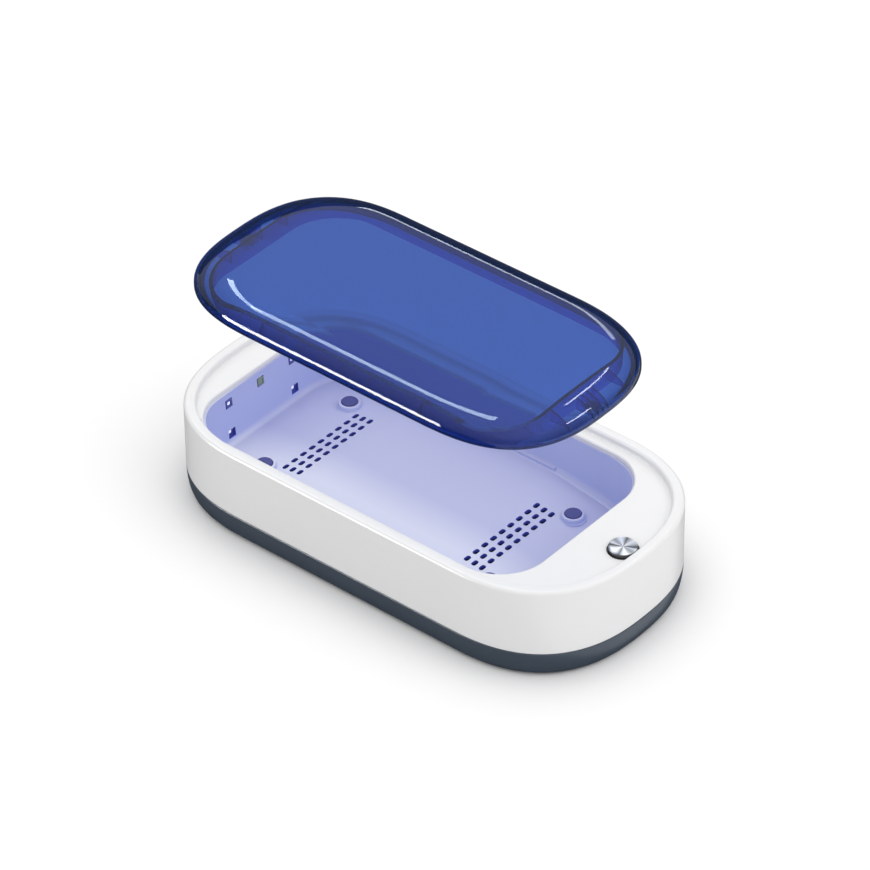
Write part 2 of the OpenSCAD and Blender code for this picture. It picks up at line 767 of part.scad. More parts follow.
// ---- Button -----------------------------------------------------------------------------------
module button_board() {
    color("#1f6a43") difference() {
        block(button_x - button_board_wid / 2, button_x + button_board_wid / 2, -button_board_len / 2,
            button_board_len / 2, button_board_top - board_t, button_board_top);
        for (s = [-1, 1])
            tube_at([button_x, s * button_post_y], small_clear_r, button_board_top - board_t - 1,
                button_board_top + 1);
    }
}
module tact_switch() {
    color("#303236") difference() {
        translate([button_x, 0, button_board_top + switch_h / 2])
            cube([switch_w, switch_w, switch_h], center = true);
        tube_at([button_x, 0], plunger_r + plunger_gap, switch_top - plunger_in - button_travel - 0.2,
            switch_top + 1);
    }
}
module switch_plunger() {
    color("#8a8d90") tube_at([button_x, 0], plunger_r, switch_top - plunger_in, stem_bottom);
}
module lid_sensor() {
    color("#26282b") block(button_x - sensor_off - sensor_w, button_x - sensor_off, -sensor_y - sensor_w,
        -sensor_y, button_board_top, button_board_top + chip_h);
}
module button_bezel() {
    color("#2a2c30") translate([button_x, 0, 0]) rotate_extrude($fn = 64) polygon([
        [stem_r + stem_gap, bezel_floor_z], [bezel_r + bezel_flange_w, bezel_floor_z],
        [bezel_r + bezel_flange_w, under_ledge_z], [bezel_r, under_ledge_z],
        [bezel_r, ledge_z + bezel_proud - 0.15], [bezel_r - 0.15, ledge_z + bezel_proud],
        [cap_r + cap_gap, ledge_z + bezel_proud],
        [cap_r + cap_gap, bezel_floor_z + bezel_floor_t],
        [stem_r + stem_gap, bezel_floor_z + bezel_floor_t]]);
}
module button_cap() {
    color("#b9bcc0") translate([button_x, 0, 0]) rotate_extrude($fn = 64) polygon([
        [0, stem_bottom], [stem_r, stem_bottom], [stem_r, cap_bottom], [cap_r, cap_bottom],
        [cap_r, cap_top - cap_chamfer], [cap_r - cap_chamfer, cap_top], [cap_r - cap_chamfer - 0.5, cap_top],
        [cap_r * 0.45, cap_top - cap_dish * 0.8], [0, cap_top - cap_dish]]);
}

// ---- Feet, magnets, screws and cables ---------------------------------------------------------
module rubber_feet() {
    color("#1d1f22") for (sx = [-1, 1], sy = [-1, 1]) translate([sx * foot_x, sy * foot_y, 0]) {
        cylinder(r1 = foot_r - 0.4, r2 = foot_r, h = 0.4, $fn = 48);
        translate([0, 0, 0.4]) cylinder(r = foot_r, h = foot_t - 0.4, $fn = 48);
    }
}
module case_magnets() {
    color("#a9adb2") for (s = [-1, 1])
        tube_at([shift + s * magnet_x, 0], magnet_r, under_ledge_z, under_ledge_z + magnet_t - 0.1);
}
module case_screws() {
    color("#8f9499") for (p = case_bosses)
        screw(p, case_bore_z, case_screw_r, case_screw_len, case_head_r, case_head_h);
}
module tray_screws() {
    color("#8f9499") for (p = tray_screw_places)
        small_screw(p, under_ledge_z - tray_t, tray_t + tray_pilot_depth - 0.2);
}
module main_board_screws() {
    color("#8f9499") for (p = main_holes)
        translate([0, 0, main_top]) rotate([180, 0, 0])
            small_screw([p[0], -p[1]], 0, board_t + main_post_h - 0.6);
}
module carrier_screws() {
    color("#8f9499") for (sx = [-1, 1], sy = [-1, 1])
        small_screw([shift + sx * carrier_post_x, sy * carrier_post_y], carrier_z,
            under_plateau_z + tray_t / 2 - carrier_z - 0.2);
}
module lamp_board_screws() {
    reach = lamp_board_face + lamp_board_t;
    color("#8f9499") for (side = [-1, 1], sy = [-1, 1])
        translate([shift + side * reach, sy * lamp_post_y, lamp_post_z]) rotate([0, -side * 90, 0])
            small_screw([0, 0], 0, lamp_board_t + 1.6);
}
module button_board_screws() {
    color("#8f9499") for (s = [-1, 1])
        small_screw([button_x, s * button_post_y], button_board_top - board_t, board_t + 5);
}
module ribbon(side, x_end) {
    x0 = shift + side * (lamp_board_face + lamp_board_t);
    x1 = x0 + side * cable_t;
    z0 = cable_run_z - cable_t / 2;
    z1 = cable_run_z + cable_t / 2;
    color("#d8d8d0") translate([0, cable_y + cable_w / 2, 0]) rotate([90, 0, 0]) linear_extrude(cable_w)
        polygon([[x0, cable_top_z], [x1, cable_top_z], [x1, z0], [x_end, z0], [x_end, z1], [x0, z1]]);
}
module left_lamp_cable() {
    ribbon(-1, main_x + 3);
}
module right_lamp_cable() {
    ribbon(1, main_x + main_len - 3);
}

// ---- Lid --------------------------------------------------------------------------------------
// The dome's rings: along the sides they draw in by lid_dome_w, at the ends by lid_slope_w
module lid_dome(edge_in, foot_z, low, rise, top) {
    s = shoulder(1, rise, lid_steps);
    loft(
        concat([lid_oval(edge_in[0], edge_in[0]), lid_oval(edge_in[1], edge_in[1])],
            [for (i = [1:lid_steps]) lid_oval(
                edge_in[1] + s[i][0] * (lid_slope_w - edge_in[1]),
                edge_in[1] + s[i][0] * (lid_dome_w - edge_in[1]))],
            [for (c = crown_rise) lid_oval(
                lid_slope_w + c[0] * lid_crown_end, lid_dome_w + c[0] * lid_crown_in)]),
        concat([foot_z, low], [for (i = [1:lid_steps]) low + s[i][1]], [for (c = crown_rise) top + c[1]]));
}
module lid_outer(grow) {
    lid_dome([lid_foot - grow, -grow], 0, lid_edge_h, lid_dome_h, lid_edge_h + lid_dome_h);
}
module lid_inner() {
    low = lid_edge_h - 0.6;
    lid_dome([lid_edge_t, lid_edge_t], -1, low, skirt_top - low, skirt_top);
}
module skirt(z0, z1) {
    translate([0, 0, z0]) linear_extrude(z1 - z0) difference() {
        polygon(round_rect(skirt_half_len, skirt_half_wid, skirt_corner));
        polygon(round_rect(skirt_half_len - skirt_t, skirt_half_wid - skirt_t, skirt_corner - skirt_t));
    }
}
module gussets() {
    for (sx = [-1, 1], sy = [-1, 1]) {
        translate([sx * gusset_x, sy * (skirt_half_wid + lid_half_wid - lid_t / 2) / 2,
            (gusset_low + skirt_top) / 2])
            cube([gusset_t, lid_half_wid - lid_t / 2 - skirt_half_wid + skirt_t, skirt_top - gusset_low],
                center = true);
        translate([sx * (skirt_half_len + lid_half_len - lid_t / 2) / 2, sy * gusset_y,
            (gusset_low + skirt_top) / 2])
            cube([lid_half_len - lid_t / 2 - skirt_half_len + skirt_t, gusset_t, skirt_top - gusset_low],
                center = true);
    }
}
module magnet_holders() {
    for (s = [-1, 1]) translate([s * magnet_x, 0, 0]) difference() {
        union() {
            tube_at([0, 0], magnet_r + magnet_fit + 1, 0.2, holder_h);
            for (y = holder_len * [-0.5, -1 / 6, 1 / 6, 0.5])
                translate([0, y, (0.2 + skirt_top + lap) / 2])
                    cube([holder_reach, holder_rib, skirt_top + lap - 0.2],
                        center = true);
        }
        tube_at([0, 0], magnet_r + magnet_fit, -1, 0.2 + magnet_t);
    }
}
module lid_shell() {
    color("#3a52a8") translate([shift, 0, lid_z]) union() {
        difference() {
            lid_outer(0);
            lid_inner();
        }
        intersection() {
            union() {
                gussets();
                magnet_holders();
                skirt(lid_edge_h, skirt_top + lap);
            }
            lid_outer(-lid_bury);
        }
        skirt(-skirt_drop, lid_edge_h + lap);
    }
}
module lid_magnets() {
    color("#a9adb2") for (s = [-1, 1])
        tube_at([shift + s * magnet_x, 0], magnet_r, lid_z + 0.3, lid_z + 0.2 + magnet_t);
}

base_shell();
upper_housing();
chamber_tray();
support_pads();
left_lamp_board();
right_lamp_board();
left_uv_lamps();
right_uv_lamps();
phone_sensor();
coil_carrier();
ferrite_sheet();
charging_coil();
main_board();
control_chips();
power_inductor();
board_sockets();
charging_socket();
button_board();
tact_switch();
lid_sensor();
button_bezel();
rubber_feet();
case_magnets();
case_screws();
tray_screws();
main_board_screws();
carrier_screws();
lamp_board_screws();
button_board_screws();
left_lamp_cable();
right_lamp_cable();
lid_shell();
lid_magnets();
button_cap();
switch_plunger();
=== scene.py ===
"""Looks of the lift-off-lid ultraviolet box for a phone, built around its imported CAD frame.
Lengths are in millimetres while a shape is worked out, and in metres in Blender."""

import math

import bmesh
import bpy
import numpy as np
from mathutils import Matrix, Vector


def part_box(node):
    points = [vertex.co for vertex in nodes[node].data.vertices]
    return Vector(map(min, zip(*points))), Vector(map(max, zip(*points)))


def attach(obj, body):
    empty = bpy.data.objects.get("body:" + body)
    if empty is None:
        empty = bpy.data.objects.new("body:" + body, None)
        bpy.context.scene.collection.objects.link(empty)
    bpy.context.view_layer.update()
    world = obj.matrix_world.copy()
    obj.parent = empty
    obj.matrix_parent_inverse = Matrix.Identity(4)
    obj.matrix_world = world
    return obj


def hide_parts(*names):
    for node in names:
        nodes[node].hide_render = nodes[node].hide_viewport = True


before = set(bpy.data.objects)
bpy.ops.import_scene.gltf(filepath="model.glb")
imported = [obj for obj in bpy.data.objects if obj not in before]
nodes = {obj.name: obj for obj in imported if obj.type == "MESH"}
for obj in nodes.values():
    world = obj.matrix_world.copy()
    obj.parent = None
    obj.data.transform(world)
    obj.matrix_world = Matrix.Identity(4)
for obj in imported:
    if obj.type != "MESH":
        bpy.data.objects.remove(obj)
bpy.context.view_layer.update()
MM = 0.001

# ---- Sizes, as in the part's source -------------------------------------------------------------
BODY_LEN, BODY_WID, BODY_H = 225.0, 113.3, 44.5
END_DEPTH, END_POWER = 56.3, 2.48
BASE_H, BASE_TUCK, FOOT_PROUD, FOOT_R = 11.7, 3.0, 1.0, 6.0
WALL_T, FLOOR_T = 2.4, 2.2
LEFT_MARGIN, RIGHT_MARGIN, SIDE_MARGIN = 17.2, 32.3, 8.75
CHAMBER_CORNER, PLATEAU_DEPTH, CHAMBER_DEPTH, PLATEAU_LEN = 22.0, 21.6, 27.0, 75.0
DRAFT, TRAY_T, TRAY_INSET = math.tan(math.radians(4.9)), 1.6, 0.75
RIM_H, RIM_W, RIM_ROUND, RIM_INNER, LEDGE_FILLET, LEDGE_T, LIP_ROUND = 3.5, 4.9, 1.8, 1.2, 0.8, 2.4, 1.0
HALF_LEN, HALF_WID = BODY_LEN / 2, BODY_WID / 2
SHIFT = (LEFT_MARGIN - RIGHT_MARGIN) / 2
CHAMBER_LEN = BODY_LEN - LEFT_MARGIN - RIGHT_MARGIN
CHAMBER_WID = BODY_WID - 2 * SIDE_MARGIN
BASE_Z = FOOT_PROUD
SEAM_Z = BASE_Z + BASE_H
RIM_Z = BODY_H
LEDGE_Z = RIM_Z - RIM_H
UNDER_LEDGE_Z = LEDGE_Z - LEDGE_T
PLATEAU_Z = LEDGE_Z - PLATEAU_DEPTH
RAMP_END_Z = LEDGE_Z - CHAMBER_DEPTH
LID_END_DEPTH, LID_POWER, LID_T, LID_EDGE_H, LID_DOME_H, LID_DOME_W = 54.7, 2.69, 2.2, 2.0, 9.0, 14.0
LID_END_GAP, LID_SIDE_GAP, LID_LEDGE_GAP, LID_LIFT = 2.05, 1.4, 0.2, 62.3
LID_HALF_LEN = HALF_LEN - RIM_W - LID_END_GAP + SHIFT
LID_HALF_WID = HALF_WID - RIM_W - LID_SIDE_GAP
LID_Z = LEDGE_Z + LID_LEDGE_GAP + LID_LIFT
LID_EDGE_T, LID_SLOPE_W, LID_CROWN = 3.4, 36.0, 0.35
SKIRT_DROP, SKIRT_T, SKIRT_GAP = 3.0, 1.0, 3.2
GUSSET_X, GUSSET_Y, GUSSET_T, GUSSET_LOW = 42.0, 17.5, 0.5, 1.0
CATCH_W, CATCH_LEN, CATCH_LOW = 9.2, 8.0, 0.2
SKIRT_HALF_LEN, SKIRT_HALF_WID = CHAMBER_LEN / 2 - SKIRT_GAP, CHAMBER_WID / 2 - SKIRT_GAP
SKIRT_CORNER = CHAMBER_CORNER + 2
LAMP_SPREAD, LAMP_HIGH, LAMP_LOW, WINDOW_W = 40.2, 7.5, 22.5, 4.2
PAD_LEN, PAD_WID, PAD_R = 121.6, 54.8, 3.65
SLOT_ROWS, SLOT_COLS, SLOT_PITCH_Y, SLOT_PITCH_X = 9, 3, 5.61, 3.95
SLOT_LEN, SLOT_WID, SLOT_GAP = 3.6, 2.1, 7.85
CAP_R, CAP_PROUD, CAP_GAP, BEZEL_T, BEZEL_GAP = 6.1, 2.0, 0.1, 0.5, 0.2
BEZEL_R = CAP_R + CAP_GAP + BEZEL_T
BUTTON_X = HALF_LEN - RIM_W - BEZEL_R - BEZEL_GAP
FLOOR_TOP = BASE_Z + FLOOR_T
MAIN_POST_H, BOARD_T = 3, 1.6
MAIN_TOP = FLOOR_TOP + MAIN_POST_H + BOARD_T
SOCKET_X, SOCKET_W, SOCKET_H, SOCKET_GAP = 30.0, 8.9, 3.2, 0.35
PILOT_R, CASE_PILOT_R, CASE_CLEAR_R, CASE_HEAD_R, CASE_BOSS_R = 0.85, 1.5, 1.7, 3.1, 3.0
POST_R, MAIN_POST_R, HEAD_DEPTH, HEAD_WALL = 2.5, 2.6, 5, 1.3
FOOT_GAP, FOOT_RECESS = 0.15, 0.8
LAMP_HALF, LAMP_BEVEL, POCKET_HALF, POCKET_DEPTH = 1.75, 0.15, 1.3, 0.6
CHIP_HALF, CHIP_BEVEL, CHIP_FRONT, CHIP_BACK = 0.7, 0.1, 0.35, 0.62

QUADRANTS = [(sx, sy) for sx in (-1, 1) for sy in (-1, 1)]

# Places in the box's plan
CASE_BOSSES = [(-HALF_LEN + 10, -22), (-HALF_LEN + 10, 22), (HALF_LEN - 16.5, -33), (HALF_LEN - 16.5, 33)]
FEET = [(sx * 84, sy * 27) for sx, sy in QUADRANTS]
MAIN_POSTS = [(x, y) for x in (-10, 58) for y in (10, 44)]
BUTTON_POSTS = [(BUTTON_X, y) for y in (-12, 12)]

# Places in the chamber's plan
PADS = [(sx * PAD_LEN / 2, sy * PAD_WID / 2) for sx, sy in QUADRANTS]
CARRIER_POSTS = [(sx * 31, sy * 23) for sx, sy in QUADRANTS]

# Lamps and the sensor in an end wall, as (y, z)
LAMP_SPOTS = [(sy * LAMP_SPREAD / 2, LEDGE_Z - low) for sy in (-1, 1) for low in (LAMP_LOW, LAMP_HIGH)]
SENSOR_SPOT = (0.0, LEDGE_Z - LAMP_HIGH)

# Fineness of the meshes
RING, OUTLINE_STEPS, CORNER_STEPS = 384, 1200, 40
SHARP, BEVEL_FROM = 35.0, 40.0


# ---- Outlines -----------------------------------------------------------------------------------
def oval(a, b, e, power):
    """A closed outline with straight sides and superelliptic ends, as an array of plan points."""
    t = np.linspace(0, np.pi / 2, OUTLINE_STEPS)
    x = a - e + e * np.maximum(np.cos(t), 0) ** (2 / power)
    y = b * np.maximum(np.sin(t), 0) ** (2 / power)
    q = np.stack([x, y], 1)
    return np.concatenate([q, q[::-1] * [-1, 1], q[1:] * [-1, -1], q[-2:0:-1] * [1, -1]])


def body_oval(inset):
    return oval(HALF_LEN - inset, HALF_WID - inset, END_DEPTH - inset, END_POWER)


def lid_oval(end_in, side_in):
    return oval(LID_HALF_LEN - end_in, LID_HALF_WID - side_in, LID_END_DEPTH - end_in, LID_POWER)


def round_rect(a, b, r):
    """A rectangle with round corners, from its half sizes."""
    t = np.linspace(0, np.pi / 2, CORNER_STEPS)
    q = np.stack([a - r + r * np.cos(t), b - r + r * np.sin(t)], 1)
    return np.concatenate([q, q[::-1] * [-1, 1], q * [-1, -1], q[::-1] * [1, -1]])


def chamber_outline(inset, x=SHIFT):
    outline = round_rect(CHAMBER_LEN / 2 - inset, CHAMBER_WID / 2 - inset, CHAMBER_CORNER - inset)
    return outline + [x, 0]


def even_angles(outline, count):
    """Directions from the origin that cut the outline into equal lengths."""
    closed = np.vstack([outline, outline[:1]])
    run = np.concatenate([[0], np.cumsum(np.linalg.norm(np.diff(closed, axis=0), axis=1))])
    at = np.linspace(0, run[-1], count, endpoint=False)
    x, y = np.interp(at, run, closed[:, 0]), np.interp(at, run, closed[:, 1])
    return np.arctan2(y, x)


def cut(outline, angles):
    """Where rays from the origin in these directions meet a star-shaped outline."""
    closed = np.vstack([outline, outline[:1]])
    corner = np.unwrap(np.arctan2(closed[:, 1], closed[:, 0]))
    found = []
    for angle in angles:
        turn = corner[0] + (angle - corner[0]) % (2 * np.pi)
        k = min(max(np.searchsorted(corner, turn, side="right") - 1, 0), len(closed) - 2)
        while np.linalg.norm(closed[k + 1] - closed[k]) < 1e-9:
            k += 1
        p, d = closed[k], closed[k + 1] - closed[k]
        ray = np.array([math.cos(angle), math.sin(angle)])
        across = d[0] * ray[1] - d[1] * ray[0]
        found.append(p + d * (-(p[0] * ray[1] - p[1] * ray[0]) / across))
    return np.array(found)


def arc(w, h, steps):
    """A quarter turn from upright to flat, as (inset, rise) pairs."""
    t = np.linspace(0, np.pi / 2, steps + 1)
    return [(w * (1 - math.cos(a)), h * math.sin(a)) for a in t]


# ---- Meshes -------------------------------------------------------------------------------------
def make(name, points, faces, crease=SHARP):
    """An object from points in millimetres."""
    mesh = bpy.data.meshes.new(name)
    mesh.from_pydata([tuple(np.asarray(p) * MM) for p in points], [], faces)
    obj = bpy.data.objects.new(name, mesh)
    bpy.context.scene.collection.objects.link(obj)
    tidy(obj, crease)
    return obj


def tidy(obj, crease=SHARP):
    """Outward faces and smooth shading, with edges sharper than crease degrees kept sharp."""
    bm = bmesh.new()
    bm.from_mesh(obj.data)
    bmesh.ops.remove_doubles(bm, verts=bm.verts, dist=2e-7)
    bmesh.ops.recalc_face_normals(bm, faces=bm.faces)
    bm.to_mesh(obj.data)
    bm.free()
    obj.data.shade_smooth()
    obj.data.set_sharp_from_angle(angle=math.radians(crease))


def loft(name, rings, caps=False, crease=SHARP):
    """Rings of equal count joined in order: into a closed tube, or with a point at each end."""
    n = len(rings[0])
    points = [p for ring in rings for p in ring]
    faces = []
    last = len(rings) - 1 if caps else len(rings)
    for k in range(last):
        a, b = k * n, ((k + 1) % len(rings)) * n
        faces += [(a + i, a + (i + 1) % n, b + (i + 1) % n, b + i) for i in range(n)]
    if caps:
        for ring, base in ((rings[0], 0), (rings[-1], (len(rings) - 1) * n)):
            points.append(np.mean(ring, axis=0))
            tip = len(points) - 1
            faces += [(tip, base + i, base + (i + 1) % n) for i in range(n)]
    return make(name, points, faces, crease)


def level(plan, z):
    """Plan points at one height, or each at its own."""
    return np.column_stack([plan, np.broadcast_to(z, len(plan))])


def turned(name, profile, at=(0, 0), steps=96, crease=30.0):
    """A closed profile of (radius, height) pairs turned round an axis."""
    t = np.linspace(0, 2 * np.pi, steps, endpoint=False)
    rings = [np.column_stack([at[0] + r * np.cos(t), at[1] + r * np.sin(t), np.full(steps, h)])
             for r, h in profile]
    solid_tip = profile[0][0] < 1e-6
    if solid_tip:
        rings = rings[1:-1]
    return loft(name, rings, caps=solid_tip, crease=crease)


def cuboid(name, low, high, bevel=0.0, steps=3):
    low, high = np.array(low, float), np.array(high, float)
    points = [(x, y, z) for x in (low[0], high[0]) for y in (low[1], high[1]) for z in (low[2], high[2])]
    faces = [(0, 1, 3, 2), (4, 6, 7, 5), (0, 4, 5, 1), (2, 3, 7, 6), (0, 2, 6, 4), (1, 5, 7, 3)]
    obj = make(name, points, faces)
    if bevel:
        bevelled(obj, bevel, steps)
    return obj


def bevelled(obj, width, steps):
    mod = obj.modifiers.new("round", "BEVEL")
    mod.width, mod.segments = width * MM, steps
    mod.limit_method, mod.angle_limit = "ANGLE", math.radians(BEVEL_FROM)
    settle(obj)


def settle(obj):
    """Applies the modifiers."""
    shown = obj.evaluated_get(bpy.context.evaluated_depsgraph_get())
    mesh = bpy.data.meshes.new_from_object(shown)
    obj.modifiers.clear()
    old = obj.data
    obj.data = mesh
    bpy.data.meshes.remove(old)
    tidy(obj)


def joined(name, parts):
    """Several closed pieces as one object."""
    bm = bmesh.new()
    for part in parts:
        part.data.transform(part.matrix_world)
        bm.from_mesh(part.data)
        bpy.data.objects.remove(part)
    mesh = bpy.data.meshes.new(name)
    bm.to_mesh(mesh)
    bm.free()
    obj = bpy.data.objects.new(name, mesh)
    bpy.context.scene.collection.objects.link(obj)
    obj.data.shade_smooth()
    obj.data.set_sharp_from_angle(angle=math.radians(SHARP))
    return obj


def carve(obj, cutters, union=False):
    """Cuts the joined cutters out of obj, or joins them to it."""
    cutter = joined("cutter", cutters)
    mod = obj.modifiers.new("cut", "BOOLEAN")
    mod.operation, mod.solver, mod.object = ("UNION" if union else "DIFFERENCE"), "EXACT", cutter
    bpy.context.view_layer.update()
    settle(obj)
    bpy.data.objects.remove(cutter)


def rod(name, at, r, low, high, steps=48):
    return turned(name, [(0, low), (r, low), (r, high), (0, high)], at, steps)


def tube(name, at, inner, outer, low, high, steps=40):
    return turned(name, [(inner, low), (outer, low), (outer, high), (inner, high)], at, steps)


# ---- Materials ----------------------------------------------------------------------------------
def socket(shader, **values):
    for key, value in values.items():
        shader.inputs[key.replace("_", " ")].default_value = value


def drifting(nt, vector, colour, mottle, scale):
    """A colour that wanders a little over the surface."""
    drift, ramp = nt.nodes.new("ShaderNodeTexNoise"), nt.nodes.new("ShaderNodeMixRGB")
    socket(drift, Scale=scale, Detail=3.0)
    nt.links.new(vector, drift.inputs["Vector"])
    ramp.inputs[1].default_value = (*[c * (1 - mottle) for c in colour], 1)
    ramp.inputs[2].default_value = (*[min(1, c * (1 + mottle)) for c in colour], 1)
    nt.links.new(drift.outputs["Fac"], ramp.inputs[0])
    return ramp.outputs[0]


def material(name, colour, rough, metal=0.0, mottle=0.03, mottle_scale=60.0, grain=0.02, grain_scale=900.0,
             rough_spread=0.06, **extra):
    """A finish with a fine grain in its roughness and bump. Without a colour, another function links one."""
    mat = bpy.data.materials.new(name)
    mat.use_nodes = True
    nt = mat.node_tree
    shader = nt.nodes["Principled BSDF"]
    where = nt.nodes.new("ShaderNodeTexCoord").outputs["Object"]
    if colour:
        nt.links.new(drifting(nt, where, colour, mottle, mottle_scale), shader.inputs["Base Color"])
    fine = nt.nodes.new("ShaderNodeTexNoise")
    socket(fine, Scale=grain_scale, Detail=4.0)
    nt.links.new(where, fine.inputs["Vector"])
    span = nt.nodes.new("ShaderNodeMapRange")
    socket(span, To_Min=max(0.0, rough - rough_spread), To_Max=rough + rough_spread)
    nt.links.new(fine.outputs["Fac"], span.inputs["Value"])
    nt.links.new(span.outputs[0], shader.inputs["Roughness"])
    bump = nt.nodes.new("ShaderNodeBump")
    socket(bump, Strength=grain, Distance=0.0002)
    nt.links.new(fine.outputs["Fac"], bump.inputs["Height"])
    nt.links.new(bump.outputs[0], shader.inputs["Normal"])
    socket(shader, Metallic=metal, **extra)
    return mat


def dress(obj, mat):
    obj.data.materials.clear()
    obj.data.materials.append(mat)
    return obj


white = material("satin_white", (0.80, 0.80, 0.805), 0.34, mottle=0.01, grain=0.03, grain_scale=1400)
slate = material("satin_slate", (0.049, 0.067, 0.094), 0.36, mottle=0.06, grain=0.05, grain_scale=1200)
rubber = material("matt_rubber", (0.016, 0.017, 0.019), 0.8, grain=0.2, grain_scale=700)
navy = material("navy_silicone", (0.037, 0.041, 0.21), 0.55, mottle=0.08, grain=0.1, grain_scale=800)
black = material("gloss_black", (0.012, 0.013, 0.015), 0.16, mottle=0.1, grain=0.01)
steel = material("plated_steel", (0.62, 0.63, 0.65), 0.3, metal=1.0, grain=0.05, grain_scale=500)
nickel = material("nickel", (0.50, 0.51, 0.52), 0.24, metal=1.0, mottle=0.05)
zinc = material("zinc_screw", (0.42, 0.43, 0.45), 0.32, metal=1.0, mottle=0.1, grain=0.1)
green = material("green_mask", (0.015, 0.12, 0.05), 0.42, mottle=0.25, mottle_scale=220, grain=0.1)
pale_mask = material("white_mask", (0.62, 0.66, 0.72), 0.45, mottle=0.05, grain=0.05)
package = material("black_package", (0.02, 0.02, 0.022), 0.6, grain=0.2, grain_scale=1600)
ivory = material("ivory_nylon", (0.72, 0.68, 0.55), 0.5, grain=0.05)
ferrite = material("ferrite", (0.03, 0.03, 0.032), 0.62, mottle=0.2, grain=0.3, grain_scale=500)
copper = material("enamelled_copper", (0.72, 0.36, 0.16), 0.3, metal=1.0, mottle=0.08)
grey_mould = material("dark_mould", (0.075, 0.082, 0.092), 0.5, grain=0.1)
nylon = material("grey_nylon", (0.25, 0.26, 0.27), 0.5, grain=0.05)
ribbon = material("flat_cable", (0.68, 0.68, 0.64), 0.45, mottle=0.12, mottle_scale=400, grain=0.1)
# Painted shade: a dark navy for the sides of the slots and windows, standing for the shade inside these
# recesses.
opening_painted_shade = material("slot_walls_painted_shade", (0.07, 0.09, 0.50), 0.5, mottle=0.06, grain=0.05)
ceramic = material("lamp_ceramic", (0.10, 0.12, 0.38), 0.4, mottle=0.04)
sensor = material("sensor_package", (0.24, 0.30, 0.24), 0.3, mottle=0.15, mottle_scale=500)


def between(nt, vector, axis, low, high):
    """How far one component of a vector lies between two values, from 0 to 1."""
    split = nt.nodes.new("ShaderNodeSeparateXYZ")
    nt.links.new(vector, split.inputs[0])
    within = nt.nodes.new("ShaderNodeMapRange")
    socket(within, From_Min=low, From_Max=high)
    nt.links.new(split.outputs[axis], within.inputs["Value"])
    return within.outputs[0]


def lavender_with_painted_shade():
    """The chamber's moulding, with painted light and shade: its floor painted darker behind, where the lid's
    shadow would fall, and paler towards the front, and its walls painted deeper and bluer than the floor as
    shade.
    """
    mat = material("lavender_tray_painted_shade", None, 0.38, grain_scale=1200)
    nt = mat.node_tree
    where, shape = nt.nodes.new("ShaderNodeTexCoord"), nt.nodes.new("ShaderNodeNewGeometry")
    floor, mix = nt.nodes.new("ShaderNodeMixRGB"), nt.nodes.new("ShaderNodeMixRGB")
    # Painted light and shade: the floor darker behind, where the lid's shadow would fall, and paler towards
    # the front.
    floor.inputs[1].default_value = (0.41, 0.43, 0.66, 1)
    floor.inputs[2].default_value = (0.60, 0.62, 0.77, 1)
    # Painted shade: the walls, which face sideways, are deeper and bluer than the floor.
    mix.inputs[1].default_value = (0.45, 0.50, 0.82, 1)
    nt.links.new(between(nt, where.outputs["Object"], "Y", -0.002, -0.022), floor.inputs[0])
    nt.links.new(between(nt, shape.outputs["Normal"], "Z", 0.15, 0.95), mix.inputs[0])
    nt.links.new(floor.outputs[0], mix.inputs[2])
    nt.links.new(mix.outputs[0], nt.nodes["Principled BSDF"].inputs["Base Color"])
    return mat


def spun_metal_painted_reflection():
    """Circular brushing with painted reflections: light and dark wedges, painted into the colour, run out
    from the middle of the cap, and its side is painted dark as shade.
    """
    mat = material("spun_metal_painted_reflection", None, 0.3, metal=1.0, grain=0.0, rough_spread=0.01, Anisotropic=0.6)
    nt = mat.node_tree
    shader = nt.nodes["Principled BSDF"]
    around = nt.nodes.new("ShaderNodeTangent")
    around.direction_type, around.axis = "RADIAL", "Z"
    nt.links.new(around.outputs[0], shader.inputs["Tangent"])
    where = nt.nodes.new("ShaderNodeTexCoord")
    turn = nt.nodes.new("ShaderNodeTexGradient")
    turn.gradient_type = "RADIAL"
    nt.links.new(where.outputs["Object"], turn.inputs["Vector"])
    half = nt.nodes.new("ShaderNodeMath")
    half.operation = "MULTIPLY"
    half.inputs[1].default_value = 2.0
    nt.links.new(turn.outputs["Fac"], half.inputs[0])
    part = nt.nodes.new("ShaderNodeMath")
    part.operation = "FRACT"
    nt.links.new(half.outputs[0], part.inputs[0])
    # Painted reflection: light and dark wedges round the cap, in its base colour.
    painted_reflection_wedges = nt.nodes.new("ShaderNodeValToRGB")
    stops = [(0, 0.45), (12, 0.75), (28, 0.05), (50, 0.6), (75, 0.95), (98, 0.5), (110, 0.16), (124, 0.7),
             (140, 0.95), (158, 0.5), (168, 0.35), (180, 0.45)]
    for at, _ in stops[1:-1]:
        painted_reflection_wedges.color_ramp.elements.new(at / 180)
    for element, (at, shade) in zip(painted_reflection_wedges.color_ramp.elements, stops):
        element.position, element.color = at / 180, (shade, shade, shade * 1.01, 1)
    nt.links.new(part.outputs[0], painted_reflection_wedges.inputs[0])
    # Painted shade: the cap's side, which faces away from the top, is dark.
    shape = nt.nodes.new("ShaderNodeNewGeometry")
    mix = nt.nodes.new("ShaderNodeMixRGB")
    mix.inputs[1].default_value = (0.09, 0.09, 0.095, 1)
    nt.links.new(between(nt, shape.outputs["Normal"], "Z", 0.3, 0.9), mix.inputs[0])
    nt.links.new(painted_reflection_wedges.outputs[0], mix.inputs[2])
    nt.links.new(mix.outputs[0], shader.inputs["Base Color"])
    return mat


